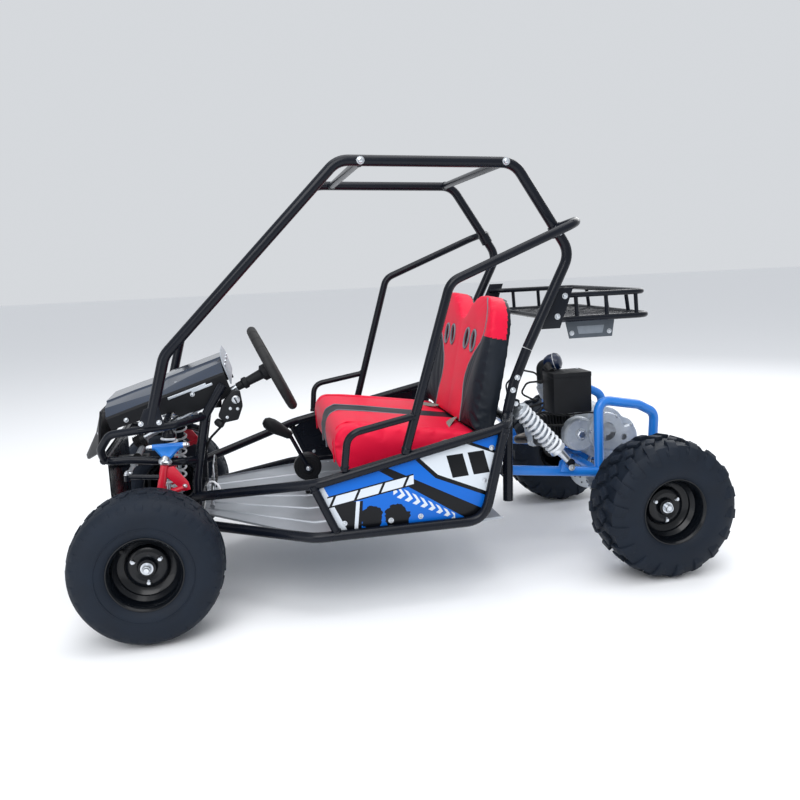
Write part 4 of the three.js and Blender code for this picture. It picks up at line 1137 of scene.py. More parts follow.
def add_coil(shape, top, foot, radius, wire, turns):
    """A compression spring between two points, with its end turns closed flat."""
    along = foot - top
    frame_of = placed(top, along)
    path = []
    count = turns * 18
    for i in range(count + 1):
        t = i / count
        rise = (t - 0.06) / 0.88
        rise = min(1, max(0, rise)) * (along.length - 2 * wire) + wire
        turn_by = math.tau * turns * t
        path.append(frame_of @ Vector((radius * math.cos(turn_by), radius * math.sin(turn_by), rise)))
    add_tube(shape, path, wire, bend=0, fine=3)


for side, hand in ((1, "left"), (-1, "right")):
    shape = bmesh.new()
    add_tube(shape, [at(-88, side * 150, 190), at(76, side * 150, 190)], 0.010, bend=0, fine=4)
    for x in (-78, 66):
        add_tube(shape, [at(x, side * 155, 190), at(6 + x * 0.08, side * 290, 163)], 0.009, bend=0, fine=4)
        add_weld(shape, at(x * 0.995, side * 161, 189), (6 - x, side * 135, -27), 9)
    add_tube(shape, [at(-50, side * 206, 181), at(44, side * 206, 181)], 0.006, bend=0, fine=3)
    for x in (-92, 80):
        add_turned(shape, [(0, 0), (0, 9), (7, 9), (8, 5), (8, 0)],
                   at(x + (-3 if x < 0 else -5), side * 150, 190), (1, 0, 0), steps=6, mat=1)
    piece(f"lower_arm_tubes_{hand}", shape, [powder_black, zinc], f"lower_arm_{hand}",
          [f"lower_arm_{hand}"])

    shape = bmesh.new()
    kingpin = (at(-55, side * 308, 450) - at(9, side * 308, 160)).normalized()
    add_turned(shape, [(-13, 0), (-13, 8), (-9, 12), (-2, 11.5), (4, 9), (9, 6), (9, 0)],
               at(9, side * 314, 158), kingpin, steps=24)
    piece(f"ball_joint_boot_{hand}", shape, [grip_rubber], f"ball_joint_{hand}",
          [f"ball_joint_{hand}"])

    shape = bmesh.new()
    add_tube(shape, [at(-98, side * 258, 466), at(-16, side * 258, 466)], 0.0085, bend=0, fine=4)
    for x, way in ((-98, -1), (-16, 1)):
        add_turned(shape, [(0, 0), (0, 8), (9, 8), (11, 6), (14, 6), (17, 4), (17, 0)],
                   at(x, side * 258, 466), (way, 0, 0), steps=12, mat=1)
    drop = Vector((0, side * 50, -19)).normalized()
    tilt = Matrix.Translation(at(-57, side * 262, 463)) @ Matrix(
        ((1, 0, 0), drop, Vector((1, 0, 0)).cross(drop))).transposed().to_4x4()
    for offset in (-4.5, 2):
        add_slab(shape, [(-38, -4), (38, -4), (14, 42), (9, 52), (-9, 52), (-14, 42)], 3,
                 tilt @ Matrix.Translation((0, 0, offset / 1000)))
    add_slab(shape, [(-38, -4), (-35, -4), (-9, 46), (-12, 46)], 7,
             tilt @ Matrix.Translation((0, 0, -0.0035)))
    add_slab(shape, [(35, -4), (38, -4), (12, 46), (9, 46)], 7, tilt @ Matrix.Translation((0, 0, -0.0035)))
    piece(f"upper_arm_plate_{hand}", shape, [blue_enamel, zinc], f"upper_arm_{hand}",
          [f"upper_arm_{hand}"])

    shape = bmesh.new()
    low, high = at(9, side * 308, 160), at(-55, side * 308, 450)

    def pin(z):
        return low.lerp(high, (z - 160) / 290)

    add_tube(shape, [pin(179), pin(425)], 0.011, bend=0, fine=4)
    add_turned(shape, [(-9, 0), (-9, 9), (-3, 17), (3, 18.5), (7, 15), (9, 11), (15, 10), (18, 6), (18, 0)],
               pin(433), kingpin, steps=28, mat=1)
    add_turned(shape, [(2, 11), (2, 14.5), (7, 14.5), (8, 11)], pin(433), kingpin, steps=28, mat=2)
    gusset = side_face(side * 308 + 4)
    add_slab(shape, [(-60, 420), (-46, 400), (-92, 350), (-112, 352), (-108, 372), (-74, 420)], 8, gusset,
             mat=0)
    add_tube(shape, [pin(340), at(-102, side * 308, 362)], 0.008, bend=0, fine=3)
    add_bolt(shape, at(-98, side * 313, 363), (0, side, 0), 5, mat=1)
    add_tube(shape, [pin(392), at(0, side * 306, 396), at(50, side * 302, 401)], 0.007, bend=0.038, fine=3,
             mat=2)
    add_turned(shape, [(-12, 0), (-12, 8), (7, 8), (7, 0)], at(50, side * 302, 401), (0, 0, 1), steps=20,
               mat=2)
    add_nut(shape, at(50, side * 302, 408), (0, 0, 1), 6.5, 6, 3, mat=1)
    add_tube(shape, [at(0, side * 300, 197), at(0, side * 470, 197)], 0.010, bend=0, fine=4, mat=3)
    add_turned(shape, [(0, 10), (0, 24), (6, 24), (10, 15), (22, 15), (22, 10)], at(0, side * 303, 197),
               (0, side, 0), mat=0)
    piece(f"knuckle_weldment_{hand}", shape, [red_enamel, zinc, powder_black, drawn_steel],
          f"knuckle_{hand}", [f"knuckle_{hand}"])

    top, foot = at(-62, side * 215, 518), at(-35, side * 245, 192)
    along = (foot - top).normalized()
    shape = bmesh.new()
    add_turned(shape, [(-10, 0), (-10, 11), (10, 11), (10, 0)], top, (1, 0, 0), steps=20, mat=1)
    add_turned(shape, [(8, 0), (8, 9), (18, 13), (24, 18.5), (34, 19), (38, 14), (120, 14), (122, 12),
                       (148, 12), (150, 7), (150, 6)], top, along, mat=1)
    add_turned(shape, [(-15, 0), (-15, 5), (15, 5), (15, 0)], top, (1, 0, 0), steps=6, mat=2)
    piece(f"front_damper_body_{hand}", shape, [white_coat, powder_black, zinc], f"front_damper_{hand}",
          [f"front_shock_body_{hand}"])
    shape = bmesh.new()
    add_turned(shape, [(152, 0), (152, 5.3), (300, 5.3), (304, 17), (311, 17), (314, 9), (318, 9),
                       (318, 0)], top, along)
    add_turned(shape, [(-10, 0), (-10, 10), (10, 10), (10, 0)], foot, (1, 0, 0), steps=20)
    piece(f"front_damper_rod_piece_{hand}", shape, [drawn_steel], f"front_damper_rod_{hand}",
          [f"front_shock_rod_{hand}"])
    shape = bmesh.new()
    add_coil(shape, top + along * 0.036, top + along * 0.303, 0.0205, 0.0034, 11)
    coil = piece(f"front_spring_{hand}", shape, [white_coat], None)
    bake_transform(coil)

# A short white brake hose bows over between two hexagon unions behind the driver's front leg.
shape = bmesh.new()
add_tube(shape, [at(-150, 214, 330), at(-158, 222, 345), at(-170, 236, 350), at(-184, 246, 340),
                 at(-192, 250, 318)], 0.003, bend=0.012, fine=2)
for place_at in (at(-150, 214, 330), at(-192, 250, 318)):
    add_turned(shape, [(-5, 0), (-5, 4.5), (5, 4.5), (5, 0)], place_at, (0, 0, 1), steps=6, mat=1)
piece("brake_hose", shape, [white_coat, zinc], "chassis")


# ---- Wheels ------------------------------------------------------------------------------------
# Fat low-pressure tyres on small black pressed-steel rims. The front pair carry low square
# blocks and the rear pair deep hooked lugs. The front rims run on spindles, the rear on the axle.
# Tyre rubber: matt blue-black, moulded a little uneven, with a soft random mottle.
tyre_rubber, shader = new_material("tyre_rubber_black")
shader.inputs["Specular IOR Level"].default_value = 0.22
mottle(tyre_rubber, shader, "#0B121C", "#141E2B", 60, bump=0.25, bump_mm=2.5, rough=(0.55, 0.72))
# Gloss black enamel on pressed steel: smooth and deep, with a clear highlight in the dish.
rim_black, shader = new_material("gloss_enamel_black")
shader.inputs["Specular IOR Level"].default_value = 0.25
shader.inputs["Coat Weight"].default_value = 0.1
mottle(rim_black, shader, "#05070B", "#0B0F15", 60, bump=0.02, bump_mm=4, rough=(0.2, 0.3))

FRONT_HUB, REAR_HUB = (0, 438, 197), (-1448, 418, 203)
FRONT_BLOCKS, REAR_LUGS = 26, 18


def tyre_ring(half, outer, tread):
    """The closed section of a balloon tyre: a round outside, a tread band and a thin wall."""
    outside = [(half - 22, 91), (half - 14, 95), (half - 4, 108), (half - 0.5, 124), (half - 0.5, 142),
               (half - 4, 160), (half - 11, outer - 24), (half - 21, outer - 12), (half - 36, tread - 2),
               (0, tread)]
    inside = [(0, tread - 9), (half - 36, tread - 12), (half - 24, outer - 32), (half - 13, 150),
              (half - 12, 122), (half - 20, 104), (half - 30, 95)]
    far_inside = [(-a, r) for a, r in inside[1:]]
    ring = [(-a, r) for a, r in outside[:-1]] + outside[::-1] + inside[::-1] + far_inside
    return ring + [ring[0]]


def add_lug(shape, hub, turn_by, outline, wide, lean=0.0, mirror=1):
    """One tread block: an outline across and out from the axle, at an angle round the wheel."""
    spin = Matrix.Rotation(turn_by, 4, "Y")
    tilt = Matrix.Rotation(lean, 4, "Z")
    plane = Matrix(((0, 0, 1), (mirror, 0, 0), (0, 1, 0))).to_4x4()
    plane.translation = (-wide / 2000, 0, 0)
    add_slab(shape, outline, wide, Matrix.Translation(hub) @ spin @ tilt @ plane, soften=1.6)


for side, hand in ((1, "left"), (-1, "right")):
    hub = at(FRONT_HUB[0], side * FRONT_HUB[1], FRONT_HUB[2])
    shape = bmesh.new()
    add_turned(shape, tyre_ring(88, 197, 193), hub, (0, side, 0), steps=72)
    for face in (1, -1):
        add_turned(shape, [(face * 85.2, 119), (face * 88.6, 121), (face * 88.6, 123), (face * 85.2, 125)],
                   hub, (0, side, 0), steps=72)
    for step in range(FRONT_BLOCKS):
        turn_by = math.tau * step / FRONT_BLOCKS
        add_lug(shape, hub, turn_by, [(-17, 188), (17, 188), (16, 196.6), (-16, 196.6)], 24,
                lean=0.2 * (-1) ** step)
        for face in (1, -1):
            add_lug(shape, hub, turn_by + math.tau / FRONT_BLOCKS / 2,
                    [(24, 186), (50, 181), (50, 191.5), (25, 195.5)], 26, lean=0.25 * face, mirror=face)
            add_lug(shape, hub, turn_by, [(54, 176), (68, 166), (78, 152), (84.5, 156), (77, 176),
                                          (68, 184), (56, 189.5)], 21, mirror=face)
    piece(f"front_tyre_treaded_{hand}", shape, [tyre_rubber], f"front_wheel_{hand}",
          [f"front_tyre_{hand}"], smooth=40)

    hub = at(REAR_HUB[0], side * REAR_HUB[1], REAR_HUB[2])
    shape = bmesh.new()
    add_turned(shape, tyre_ring(96, 203, 192), hub, (0, side, 0), steps=72)
    for step in range(REAR_LUGS):
        turn_by = math.tau * step / REAR_LUGS
        for face in (1, -1):
            half_step = math.tau / REAR_LUGS / 2 * (face > 0)
            add_lug(shape, hub, turn_by + half_step, [(2, 186), (38, 184), (39, 201), (3, 202.6)], 25,
                    lean=-0.55 * face, mirror=face)
            add_lug(shape, hub, turn_by + half_step + 0.13,
                    [(40, 182), (60, 178), (76, 166), (86, 150), (95, 150), (96, 168), (86, 188),
                     (66, 199), (42, 201.5)], 27, lean=-0.2 * face, mirror=face)
            add_lug(shape, hub, turn_by + half_step + 0.3,
                    [(70, 172), (84, 158), (92, 160), (88, 178), (74, 190)], 16, mirror=face)
    piece(f"rear_tyre_treaded_{hand}", shape, [tyre_rubber], "drive_axle", [f"rear_tyre_{hand}"],
          smooth=40)

for side, hand in ((1, "left"), (-1, "right")):
    for end, (x, y, z), body, half in (("front", FRONT_HUB, f"front_wheel_{hand}", 68),
                                       ("rear", REAR_HUB, "drive_axle", 76)):
        hub, out = at(x, side * y, z), Vector((0, side, 0))
        shape = bmesh.new()
        barrel = [(-half - 8, 96), (-half - 4, 93), (-half, 90), (-half + 18, 87), (-half + 26, 77),
                  (half - 44, 77), (half - 34, 87), (half, 90), (half + 4, 93), (half + 8, 96)]
        wall = barrel + [(a, r - 3) for a, r in barrel[::-1]]
        add_turned(shape, wall + [wall[0]], hub, out, steps=56)
        dish = [(half - 50, 77), (half - 56, 70), (half - 60, 58), (half - 50, 52), (half - 46, 44),
                (half - 46, 34), (half - 50, 27), (half - 50, 11.2)]
        wall = dish + [(a - 4, r) for a, r in dish[::-1]]
        add_turned(shape, wall + [wall[0]], hub, out, steps=56)
        add_turned(shape, [(-44, 11.2), (-44, 25), (half - 48, 25), (half - 42, 22), (half - 40, 11.2)],
                   hub, out, steps=28)
        for step in range(3):
            turn_by = math.tau * step / 3 + 0.5
            spot = Vector((math.cos(turn_by), 0, math.sin(turn_by))) * 0.039
            add_nut(shape, hub + spot + out * (half - 46) / 1000, out, 5, 5, 3, mat=2)
        end_reach = 34 if end == "front" else 36
        add_turned(shape, [(0, 0), (0, 16), (2.5, 16), (2.5, 0)], hub + out * (half - 40) / 1000, out,
                   steps=28, mat=2)
        add_turned(shape, [(0, 0), (0, 12), (9, 12), (10, 11), (14, 10.6), (14, 9),
                           (end_reach - half + 50, 8.6), (end_reach - half + 52, 7),
                           (end_reach - half + 52, 0)],
                   hub + out * (half - 38) / 1000, out, steps=12, mat=2)
        add_turned(shape, [(0, 0), (0, 4), (12, 4), (15, 5.2), (22, 5.2), (24, 3.5), (24, 0)],
                   hub + Vector((0.058, 0, 0.052)) + out * (half - 58) / 1000, out, steps=14, mat=3)
        piece(f"{end}_rim_pressed_{hand}", shape, [rim_black, powder_black, zinc, grip_rubber], body,
              [f"{end}_rim_{hand}"])


# ---- Swing arm ---------------------------------------------------------------------------------
# One welded blue tube frame carries the engine and the axle bearings. It hinges on the cage's
# rear legs and each side rises in a tall hoop that guards the engine.
def add_swing_side(shape, side):
    add_tube(shape, sided([(-1016, 250, 306), (-1338, 240, 268)], side), 0.015, bend=0, fine=5)
    hoop = [(-1338, 232, 262), (-1342, 222, 492), (-1483, 206, 464), (-1543, 196, 432), (-1540, 188, 290),
            (-1452, 186, 225)]
    add_tube(shape, sided(hoop, side), 0.015, bend=0.038, fine=5)
    add_tube(shape, sided([(-1338, 234, 264), (-1448, 186, 216)], side), 0.014, bend=0, fine=4)
    add_weld(shape, at(-1031, side * 249.5, 304), (-322, side * -10, -38), 14.5)
    add_weld(shape, at(-1328, side * 240.5, 269), (-322, side * -10, -38), 14.5)
    add_turned(shape, [(-18, 24), (-18, 36), (-15, 38), (15, 38), (18, 36), (18, 24)],
               at(-1448, side * 186, 203), (0, side, 0), steps=36)
    add_turned(shape, [(-19, 13), (-19, 25), (19, 25), (19, 13)], at(-1448, side * 186, 203), (0, side, 0),
               steps=36, mat=1)
    for low_y in (253, 274):
        lug = side_face(side * low_y + 3)
        add_slab(shape, [(-1238, 286), (-1192, 290), (-1200, 318), (-1214, 326), (-1228, 318)], 5, lug,
                 soften=1.2)
    add_tube(shape, [at(-1214, side * 250, 310), at(-1214, side * 318, 310)], 0.0065, bend=0, fine=3, mat=1)
    add_nut(shape, at(-1214, side * 314, 310), (0, side, 0), 7.5, 7, 3, mat=1)
    add_turned(shape, [(0, 0), (0, 10), (8, 10), (8, 0)], at(-1016, side * 276, 306), (0, side, 0), steps=6,
               mat=1)


shape = bmesh.new()
add_cross(shape, -1016, 276, 306, 14)
add_cross(shape, -1336, 226, 268, 13)
for side in (1, -1):
    add_swing_side(shape, side)
for y in (-44, 40):
    add_box(shape, (-1440, y - 4, 258), (-1322, y + 4, 282), 2)
piece("swing_arm_tubes", shape, [blue_enamel, zinc], "swing", ["swing_arm"])


# ---- Rear dampers ------------------------------------------------------------------------------
# A chromed damper in a thick white coil slopes from each rear leg down to the swing arm. The
# coil's top sits under a grey cup and its foot on a threaded collar.
for side, hand in ((1, "left"), (-1, "right")):
    top, foot = at(-1037, side * 300, 521), at(-1214, side * 300, 324)
    along = (foot - top).normalized()
    shape = bmesh.new()
    add_turned(shape, [(-10, 0), (-10, 12), (10, 12), (10, 0)], top, (0, 1, 0), steps=24, mat=1)
    add_turned(shape, [(10, 0), (10, 8), (20, 12), (28, 24), (34, 26.5), (38, 26.5), (38, 16), (148, 16),
                       (150, 12), (150, 0)], top, along)
    add_turned(shape, [(-13, 0), (-13, 6), (13, 6), (13, 0)], top, (0, 1, 0), steps=6, mat=2)
    piece(f"rear_damper_body_{hand}", shape, [silver_and_vent_highlight, powder_black, zinc], f"rear_damper_{hand}",
          [f"rear_shock_body_{hand}"])
    shape = bmesh.new()
    length = (foot - top).length * 1000
    add_turned(shape, [(100, 0), (100, 6), (length - 66, 6), (length - 66, 24), (length - 60, 26),
                       (length - 55, 26), (length - 48, 13), (length - 10, 10), (length - 10, 0)],
               top, along)
    add_turned(shape, [(-10, 0), (-10, 12), (10, 12), (10, 0)], foot, (0, 1, 0), steps=24, mat=1)
    piece(f"rear_damper_rod_piece_{hand}", shape, [zinc, powder_black], f"rear_damper_rod_{hand}",
          [f"rear_shock_rod_{hand}"])
    shape = bmesh.new()
    coil_top, coil_foot = top + along * 0.039, top + along * (length - 66) / 1000
    add_coil(shape, coil_top, coil_foot, 0.0232, 0.0044, 10)
    coil = piece(f"rear_coil_{hand}", shape, [white_coat], None, [f"rear_spring_{hand}"])
    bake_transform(coil)


# ---- Rear axle ---------------------------------------------------------------------------------
# A 25 mm steel bar turns in two bearing carriers and drives both wheels. It carries a toothed
# sprocket on the left of its middle and a drilled brake disc on the right.
AXLE = (-1448, 203)
shape = bmesh.new()
add_turned(shape, [(-454, 0), (-454, 8.5), (-452, 10), (-392, 10), (-392, 12.5), (392, 12.5), (392, 10),
                   (452, 10), (454, 8.5), (454, 0)],
           at(AXLE[0], 0, AXLE[1]), (0, 1, 0), steps=28)
axle_middle = at(AXLE[0], 0, AXLE[1])
teeth = 36
outline = []
for step in range(teeth):
    for share, radius in ((0.0, 72), (0.28, 72.5), (0.44, 78), (0.56, 78), (0.72, 72.5)):
        turn_by = math.tau * (step + share) / teeth
        outline.append((radius * math.cos(turn_by), radius * math.sin(turn_by)))
stand = Matrix.Translation(at(AXLE[0], 57.5, AXLE[1])) @ Matrix.Rotation(math.radians(90), 4, "X")
add_slab(shape, outline, 5, stand, soften=0, mat=1)
add_turned(shape, [(-12, 12.5), (-12, 30), (-3, 30), (-3, 40), (0, 40), (0, 12.5)],
           at(AXLE[0], 64, AXLE[1]), (0, 1, 0), mat=2)
disc = [(-2, 34), (-2, 82), (2, 82), (2, 34)]
add_turned(shape, disc + disc[:1], at(AXLE[0], -84, AXLE[1]), (0, 1, 0), steps=56, mat=0)
add_turned(shape, [(0, 12.5), (0, 38), (4, 38), (4, 26), (16, 24), (16, 12.5)], at(AXLE[0], -82, AXLE[1]),
           (0, 1, 0), mat=2)
for step in range(6):
    turn_by = math.tau * step / 6
    spot = Vector((math.cos(turn_by), 0, math.sin(turn_by)))
    add_bolt(shape, axle_middle + spot * 0.032 + Vector((0, -0.078, 0)), (0, 1, 0), 4, mat=3)
    add_bolt(shape, axle_middle + spot * 0.034 + Vector((0, 0.065, 0)), (0, 1, 0), 4, mat=3)
# The disc's drilled holes are thin dark discs on both faces: painted shade, not openings.
for step in range(24):
    turn_by = math.tau * step / 24
    spot = Vector((math.cos(turn_by), 0, math.sin(turn_by))) * (0.056 if step % 2 else 0.068)
    for face in (1, -1):
        add_turned(shape, [(0, 0), (0, 3.2), (0.3, 3.2), (0.3, 0)],
                   axle_middle + spot + Vector((0, -0.084 + face * 0.002, 0)),
                   (0, face, 0), steps=10, mat=4)
piece("rear_axle_assembly", shape, [drawn_steel, drawn_steel, powder_black, zinc, painted_hole_shade],
      "drive_axle", ["rear_axle"])


# ---- Engine ------------------------------------------------------------------------------------
# A small single-cylinder engine lies forward in the swing arm: alloy cases with bolted covers, a
# finned barrel, a carburettor under an intake pod, and an exhaust that runs back to a silencer.
# Sand-cast aluminium: pale grey, slightly mottled, with a fine grit of about 1 mm.
cast_alloy, shader = new_material("sand_cast_aluminium")
shader.inputs["Metallic"].default_value = 0.35
mottle(cast_alloy, shader, "#A9B1BA", "#CDD3D9", 18, bump=0.3, bump_mm=1.4, rough=(0.35, 0.55))
# Heat-proof black paint over a rough casting.
dark_alloy, shader = new_material("black_painted_casting")
mottle(dark_alloy, shader, "#17191C", "#24272B", 14, bump=0.25, bump_mm=1.4, rough=(0.45, 0.6))
# Glossy navy plastic, moulded thin.
pod_blue, shader = new_material("moulded_pod_navy")
shader.inputs["Coat Weight"].default_value = 0.3
mottle(pod_blue, shader, "#0A1A33", "#12264A", 30, rough=(0.25, 0.35))


def arc_points(x, z, radius, first, last, count=12):
    turns = [math.radians(first + (last - first) * i / count) for i in range(count + 1)]
    return [(x + radius * math.cos(a), z + radius * math.sin(a)) for a in turns]


shape = bmesh.new()
case = arc_points(-1408, 372, 76, -60, 150) + arc_points(-1462, 352, 60, 120, 290)
add_slab(shape, case, 170, side_face(116), soften=5)
cover = arc_points(-1404, 372, 62, -70, 170, 16) + arc_points(-1462, 350, 50, 130, 280, 10)
add_slab(shape, cover, 26, side_face(148), soften=7)
add_slab(shape, [(x * 0.9 - 142, z * 0.9 + 36) for x, z in cover], 3, side_face(150), soften=1.2)
for x, z in cover[1:-1:4]:
    add_bolt(shape, at(x * 0.93 - 99.5, 148, z * 0.93 + 25.5), (0, 1, 0), 4.2, mat=2)
add_turned(shape, [(0, 0), (0, 30), (4, 33), (9, 30), (9, 12), (5, 10), (5, 0)], at(-1404, 141, 372),
           (0, 1, 0), steps=36)
add_turned(shape, [(0, 0), (0, 14), (6, 14), (8, 10), (8, 0)], at(-1462, 142, 350), (0, 1, 0), steps=24,
           mat=2)
add_turned(shape, [(0, 0), (0, 58), (6, 62), (20, 62), (28, 50), (32, 20), (32, 0)], at(-1412, -112, 372),
           (0, -1, 0), steps=40)
# The round clutch cover at the front left, with its centre cap and a ring of screws.
add_turned(shape, [(0, 0), (0, 54), (14, 56), (30, 54), (36, 48), (36, 20), (40, 17), (40, 0)],
           at(-1322, 96, 366), (0, 1, 0), steps=44)
add_turned(shape, [(0, 0), (0, 14), (5, 14), (7, 11), (7, 0)], at(-1322, 135, 366), (0, 1, 0), steps=6,
           mat=2)
for step in range(6):
    turn_by = math.tau * (step + 0.4) / 6
    add_bolt(shape, at(-1322 + 42 * math.cos(turn_by), 130, 366 + 42 * math.sin(turn_by)), (0, 1, 0), 3.6,
             mat=2)
for step in range(6):
    turn_by = math.tau * step / 6
    add_bolt(shape, at(-1412 + 54 * math.cos(turn_by), -132, 372 + 54 * math.sin(turn_by)), (0, -1, 0), 4.2,
             mat=2)
add_box(shape, (-1470, -44, 284), (-1362, 100, 318), 6)
for y in range(-30, 100, 14):
    add_box(shape, (-1460, y, 279), (-1372, y + 3, 288), 1)
barrel_way = Vector((160, 0, -16)).normalized()
barrel_foot = at(-1350, 0, 372)
add_turned(shape, [(0, 0), (0, 50), (20, 50), (24, 34), (120, 34), (124, 48), (150, 50), (158, 44),
                   (160, 0)], barrel_foot, barrel_way, steps=40, mat=1)
barrel_place = placed(barrel_foot, barrel_way, roll=(0, 1, 0))
for step in range(9):
    fin = [(-54, -46), (54, -46), (58, -30), (58, 30), (54, 46), (-54, 46), (-58, 30), (-58, -30)]
    add_slab(shape, fin, 2.6, barrel_place @ Matrix.Translation((0, 0, 0.030 + step * 0.0105)), soften=0.6,
             mat=1)
add_slab(shape, [(-40, -34), (40, -34), (44, 0), (40, 34), (-40, 34), (-44, 0)], 16,
         barrel_place @ Matrix.Translation((0, 0, 0.146)), soften=4)
for y in (-28, 28):
    for z in (-24, 24):
        add_bolt(shape, barrel_place @ Vector((z / 1000, y / 1000, 0.161)), barrel_way, 4.5, mat=2)
add_tube(shape, sided([(-1285, 0, 404), (-1278, 8, 428), (-1268, 24, 450)], 1), 0.015, bend=0.02, fine=3)
carb = (at(-1218, 60, 540) - at(-1270, 20, 440)).normalized()
add_turned(shape, [(0, 0), (0, 16), (6, 22), (12, 22), (16, 17), (50, 19), (60, 24), (96, 24), (100, 18),
                   (118, 17), (118, 0)], at(-1270, 20, 440), carb, steps=28)
add_turned(shape, [(0, 0), (0, 17), (22, 18), (28, 13), (28, 0)], at(-1246, 58, 472), (0.1, 0.9, -0.2),
           steps=24, mat=0)
add_turned(shape, [(0, 0), (0, 9), (16, 9), (20, 6), (20, 0)], at(-1240, 22, 500), (-0.5, -0.6, 0.5),
           steps=18, mat=2)
add_tube(shape, sided([(-1222, 58, 532), (-1216, 68, 590), (-1240, 87, 600)], 1), 0.017, bend=0.03, fine=4,
         mat=1)
pod_way = Vector((-0.8, 0.5, 0.28)).normalized()
add_turned(shape, [(-16, 0), (-16, 18), (-12, 22), (2, 28), (22, 29), (32, 25), (38, 14), (39, 0)],
           at(-1238, 86, 597), pod_way, steps=32, mat=3)
add_turned(shape, [(17, 28.8), (17, 29.8), (19, 29.8), (19, 28.8)], at(-1238, 86, 597), pod_way, steps=32,
           mat=4)
add_tube(shape, sided([(-1200, -20, 330), (-1170, -90, 316), (-1300, -140, 330), (-1440, -140, 346)], 1),
         0.014, bend=0.04, fine=4, mat=5)
silencer = (at(-1516, -140, 356) - at(-1400, -140, 342)).normalized()
add_turned(shape, [(-2, 14), (0, 26), (6, 33), (10, 34), (104, 34), (110, 31), (114, 22), (114, 13),
                   (108, 12), (100, 12)],
           at(-1400, -140, 342), silencer, steps=40, mat=1)
for share in (28, 84):
    add_turned(shape, [(share - 5, 33.5), (share - 5, 35.4), (share + 5, 35.4), (share + 5, 33.5)],
               at(-1400, -140, 342), silencer, steps=40, mat=2)
# Engine lines: fuel hose, plug lead and throttle cable, all clipped down at both ends.
for route, radius in (([(-1196, 0, 362), (-1168, 10, 392), (-1176, 42, 450), (-1226, 78, 470)], 3.6),
                      ([(-1240, 30, 508), (-1215, 20, 560), (-1170, -10, 570), (-1130, -40, 520),
                        (-1150, -60, 420)], 3.0),
                      ([(-1236, 76, 478), (-1190, 96, 436), (-1200, 100, 400), (-1300, 100, 392),
                        (-1350, 112, 400)], 4.0),
                      ([(-1404, 140, 430), (-1340, 150, 440), (-1270, 118, 430), (-1210, 90, 440),
                        (-1180, 60, 420)], 3.0),
                      ([(-1212, 108, 545), (-1160, 84, 540), (-1150, 50, 500), (-1206, 44, 470)], 3.2)):
    add_tube(shape, sided(route, 1), radius / 1000, bend=0.025, fine=2, mat=6)
# Heat-dulled steel: the exhaust's brown-grey bloom.
exhaust_steel, shader = new_material("heat_dulled_steel")
shader.inputs["Metallic"].default_value = 0.9
mottle(exhaust_steel, shader, "#4A4340", "#7A7570", 25, bump=0.1, bump_mm=2, rough=(0.4, 0.55))
piece("engine_assembly", shape, [cast_alloy, dark_alloy, zinc, pod_blue, white_coat, exhaust_steel,
                                 grip_rubber], "swing",
      ["engine"])

# The roller chain from the gearbox down to the axle's sprocket, as its two straight runs.
CHAIN_PITCH, CHAIN_LINKS, CHAIN_FOOT = 12.7, 9, 208
shape = bmesh.new()
for run in (-1, 1):
    for step in range(CHAIN_LINKS):
        spread = 74 - step * 2.4
        lay = Matrix.Translation(at(AXLE[0] + run * spread, 55, CHAIN_FOOT + step * CHAIN_PITCH))
        wide = 3.2 if step % 2 else 4.4
        for face in (-wide, wide):
            add_box(shape, (-4, face - 0.7, -7), (4, face + 0.7, 7), 0.5, transform=lay)
        add_turned(shape, [(-4, 0), (-4, 3.6), (4, 3.6), (4, 0)], lay.translation, (0, 1, 0), steps=10)
piece("drive_chain", shape, [drawn_steel], "swing", smooth=30)

# ---- Air box -----------------------------------------------------------------------------------
# A folded black sheet box beside the engine with a shallow lid and a short rubber snorkel.
shape = bmesh.new()
add_box(shape, (-1328, 112, 453), (-1203, 206, 566), 3)
add_box(shape, (-1329, 111, 563), (-1202, 207, 580), 4)
for x in (-1312, -1219):
    add_bolt(shape, at(x, 130, 580), (0, 0, 1), 3.6, mat=1)
add_tube(shape, [at(-1218, 150, 578), at(-1214, 124, 590), at(-1232, 100, 596)], 0.012, bend=0.02, fine=3,
         mat=2)
piece("air_box_housing", shape, [black_plastic, zinc, grip_rubber], "swing", ["airbox"])


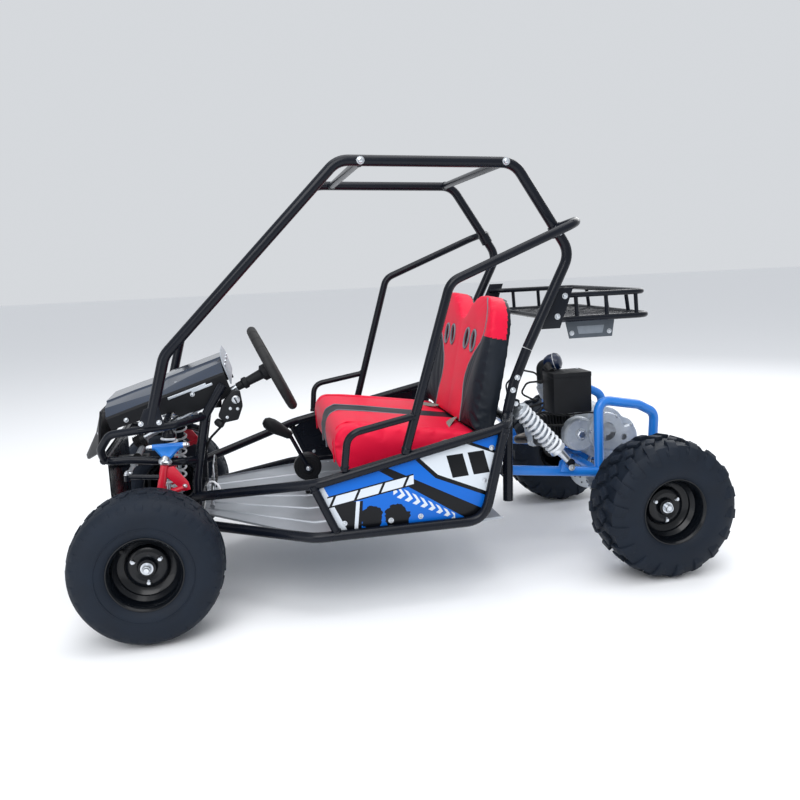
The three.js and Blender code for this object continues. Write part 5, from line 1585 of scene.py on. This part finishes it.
# ---- Pedals and shifter ------------------------------------------------------------------------
# Two hanging steel pedals with ribbed rubber treads face the driver. The shifter stands between
# the seats' footwells: a round black housing, a lever and a ball grip.
for name, y in (("brake", 176), ("throttle", 96)):
    shape = bmesh.new()
    add_turned(shape, [(-14, 0), (-14, 6.5), (14, 6.5), (14, 0)], at(-160, y, 264), (0, 1, 0), steps=20)
    add_tube(shape, [at(-160, y, 264), at(-168, y, 350)], 0.005, bend=0, fine=3)
    add_box(shape, (-174, y - 27, 319), (-170, y + 27, 391), 1.2)
    for step in range(7):
        add_box(shape, (-178, y - 25, 322 + step * 10), (-173.5, y + 25, 327.5 + step * 10), 1.2, mat=1)
    piece(f"{name}_pedal_assembly", shape, [zinc, grip_rubber], name, [f"{name}_pedal"])

shape = bmesh.new()
add_turned(shape, [(-6.5, 0), (-6.5, 13), (6.5, 13), (6.5, 0)], at(-455, 1, 306), (0, 1, 0), steps=24,
           mat=1)
add_tube(shape, [at(-455, 1, 306), at(-404, 1, 416), at(-390, 1, 426)], 0.0062, bend=0.012, fine=4, mat=1)
grip_way = Vector((0.83, 0, 0.56)).normalized()
add_turned(shape, [(-4, 0), (-4, 10), (4, 14), (20, 16), (44, 20.5), (66, 21.5), (84, 18), (94, 10),
                   (96, 0)], at(-404, 1, 416), grip_way,
           steps=32)
add_bolt(shape, at(-455, 7.5, 306), (0, 1, 0), 5.5, mat=2)
piece("shift_lever_and_grip", shape, [black_plastic, powder_black, zinc], "shifter",
      ["shift_lever"])

shape = bmesh.new()
add_turned(shape, [(0, 0), (0, 40), (3, 43.5), (30, 43.5), (34, 40), (36.5, 30), (36.5, 0)],
           at(-455, -44, 306), (0, 1, 0), steps=48)
for radius in (15, 24, 33):
    add_turned(shape, [(-1, radius - 2.4), (1.2, radius - 1.4), (1.2, radius + 1.4), (-1, radius + 2.4)],
               at(-455, -7.6, 306), (0, 1, 0), steps=48)
add_box(shape, (-486, -40, 219), (-443, -12, 290), 3)
for z in (232, 276):
    add_bolt(shape, at(-464, -12, z), (0, 1, 0), 3.2, mat=1)
piece("shifter_drum", shape, [black_plastic, zinc], "chassis", ["shifter_housing"])
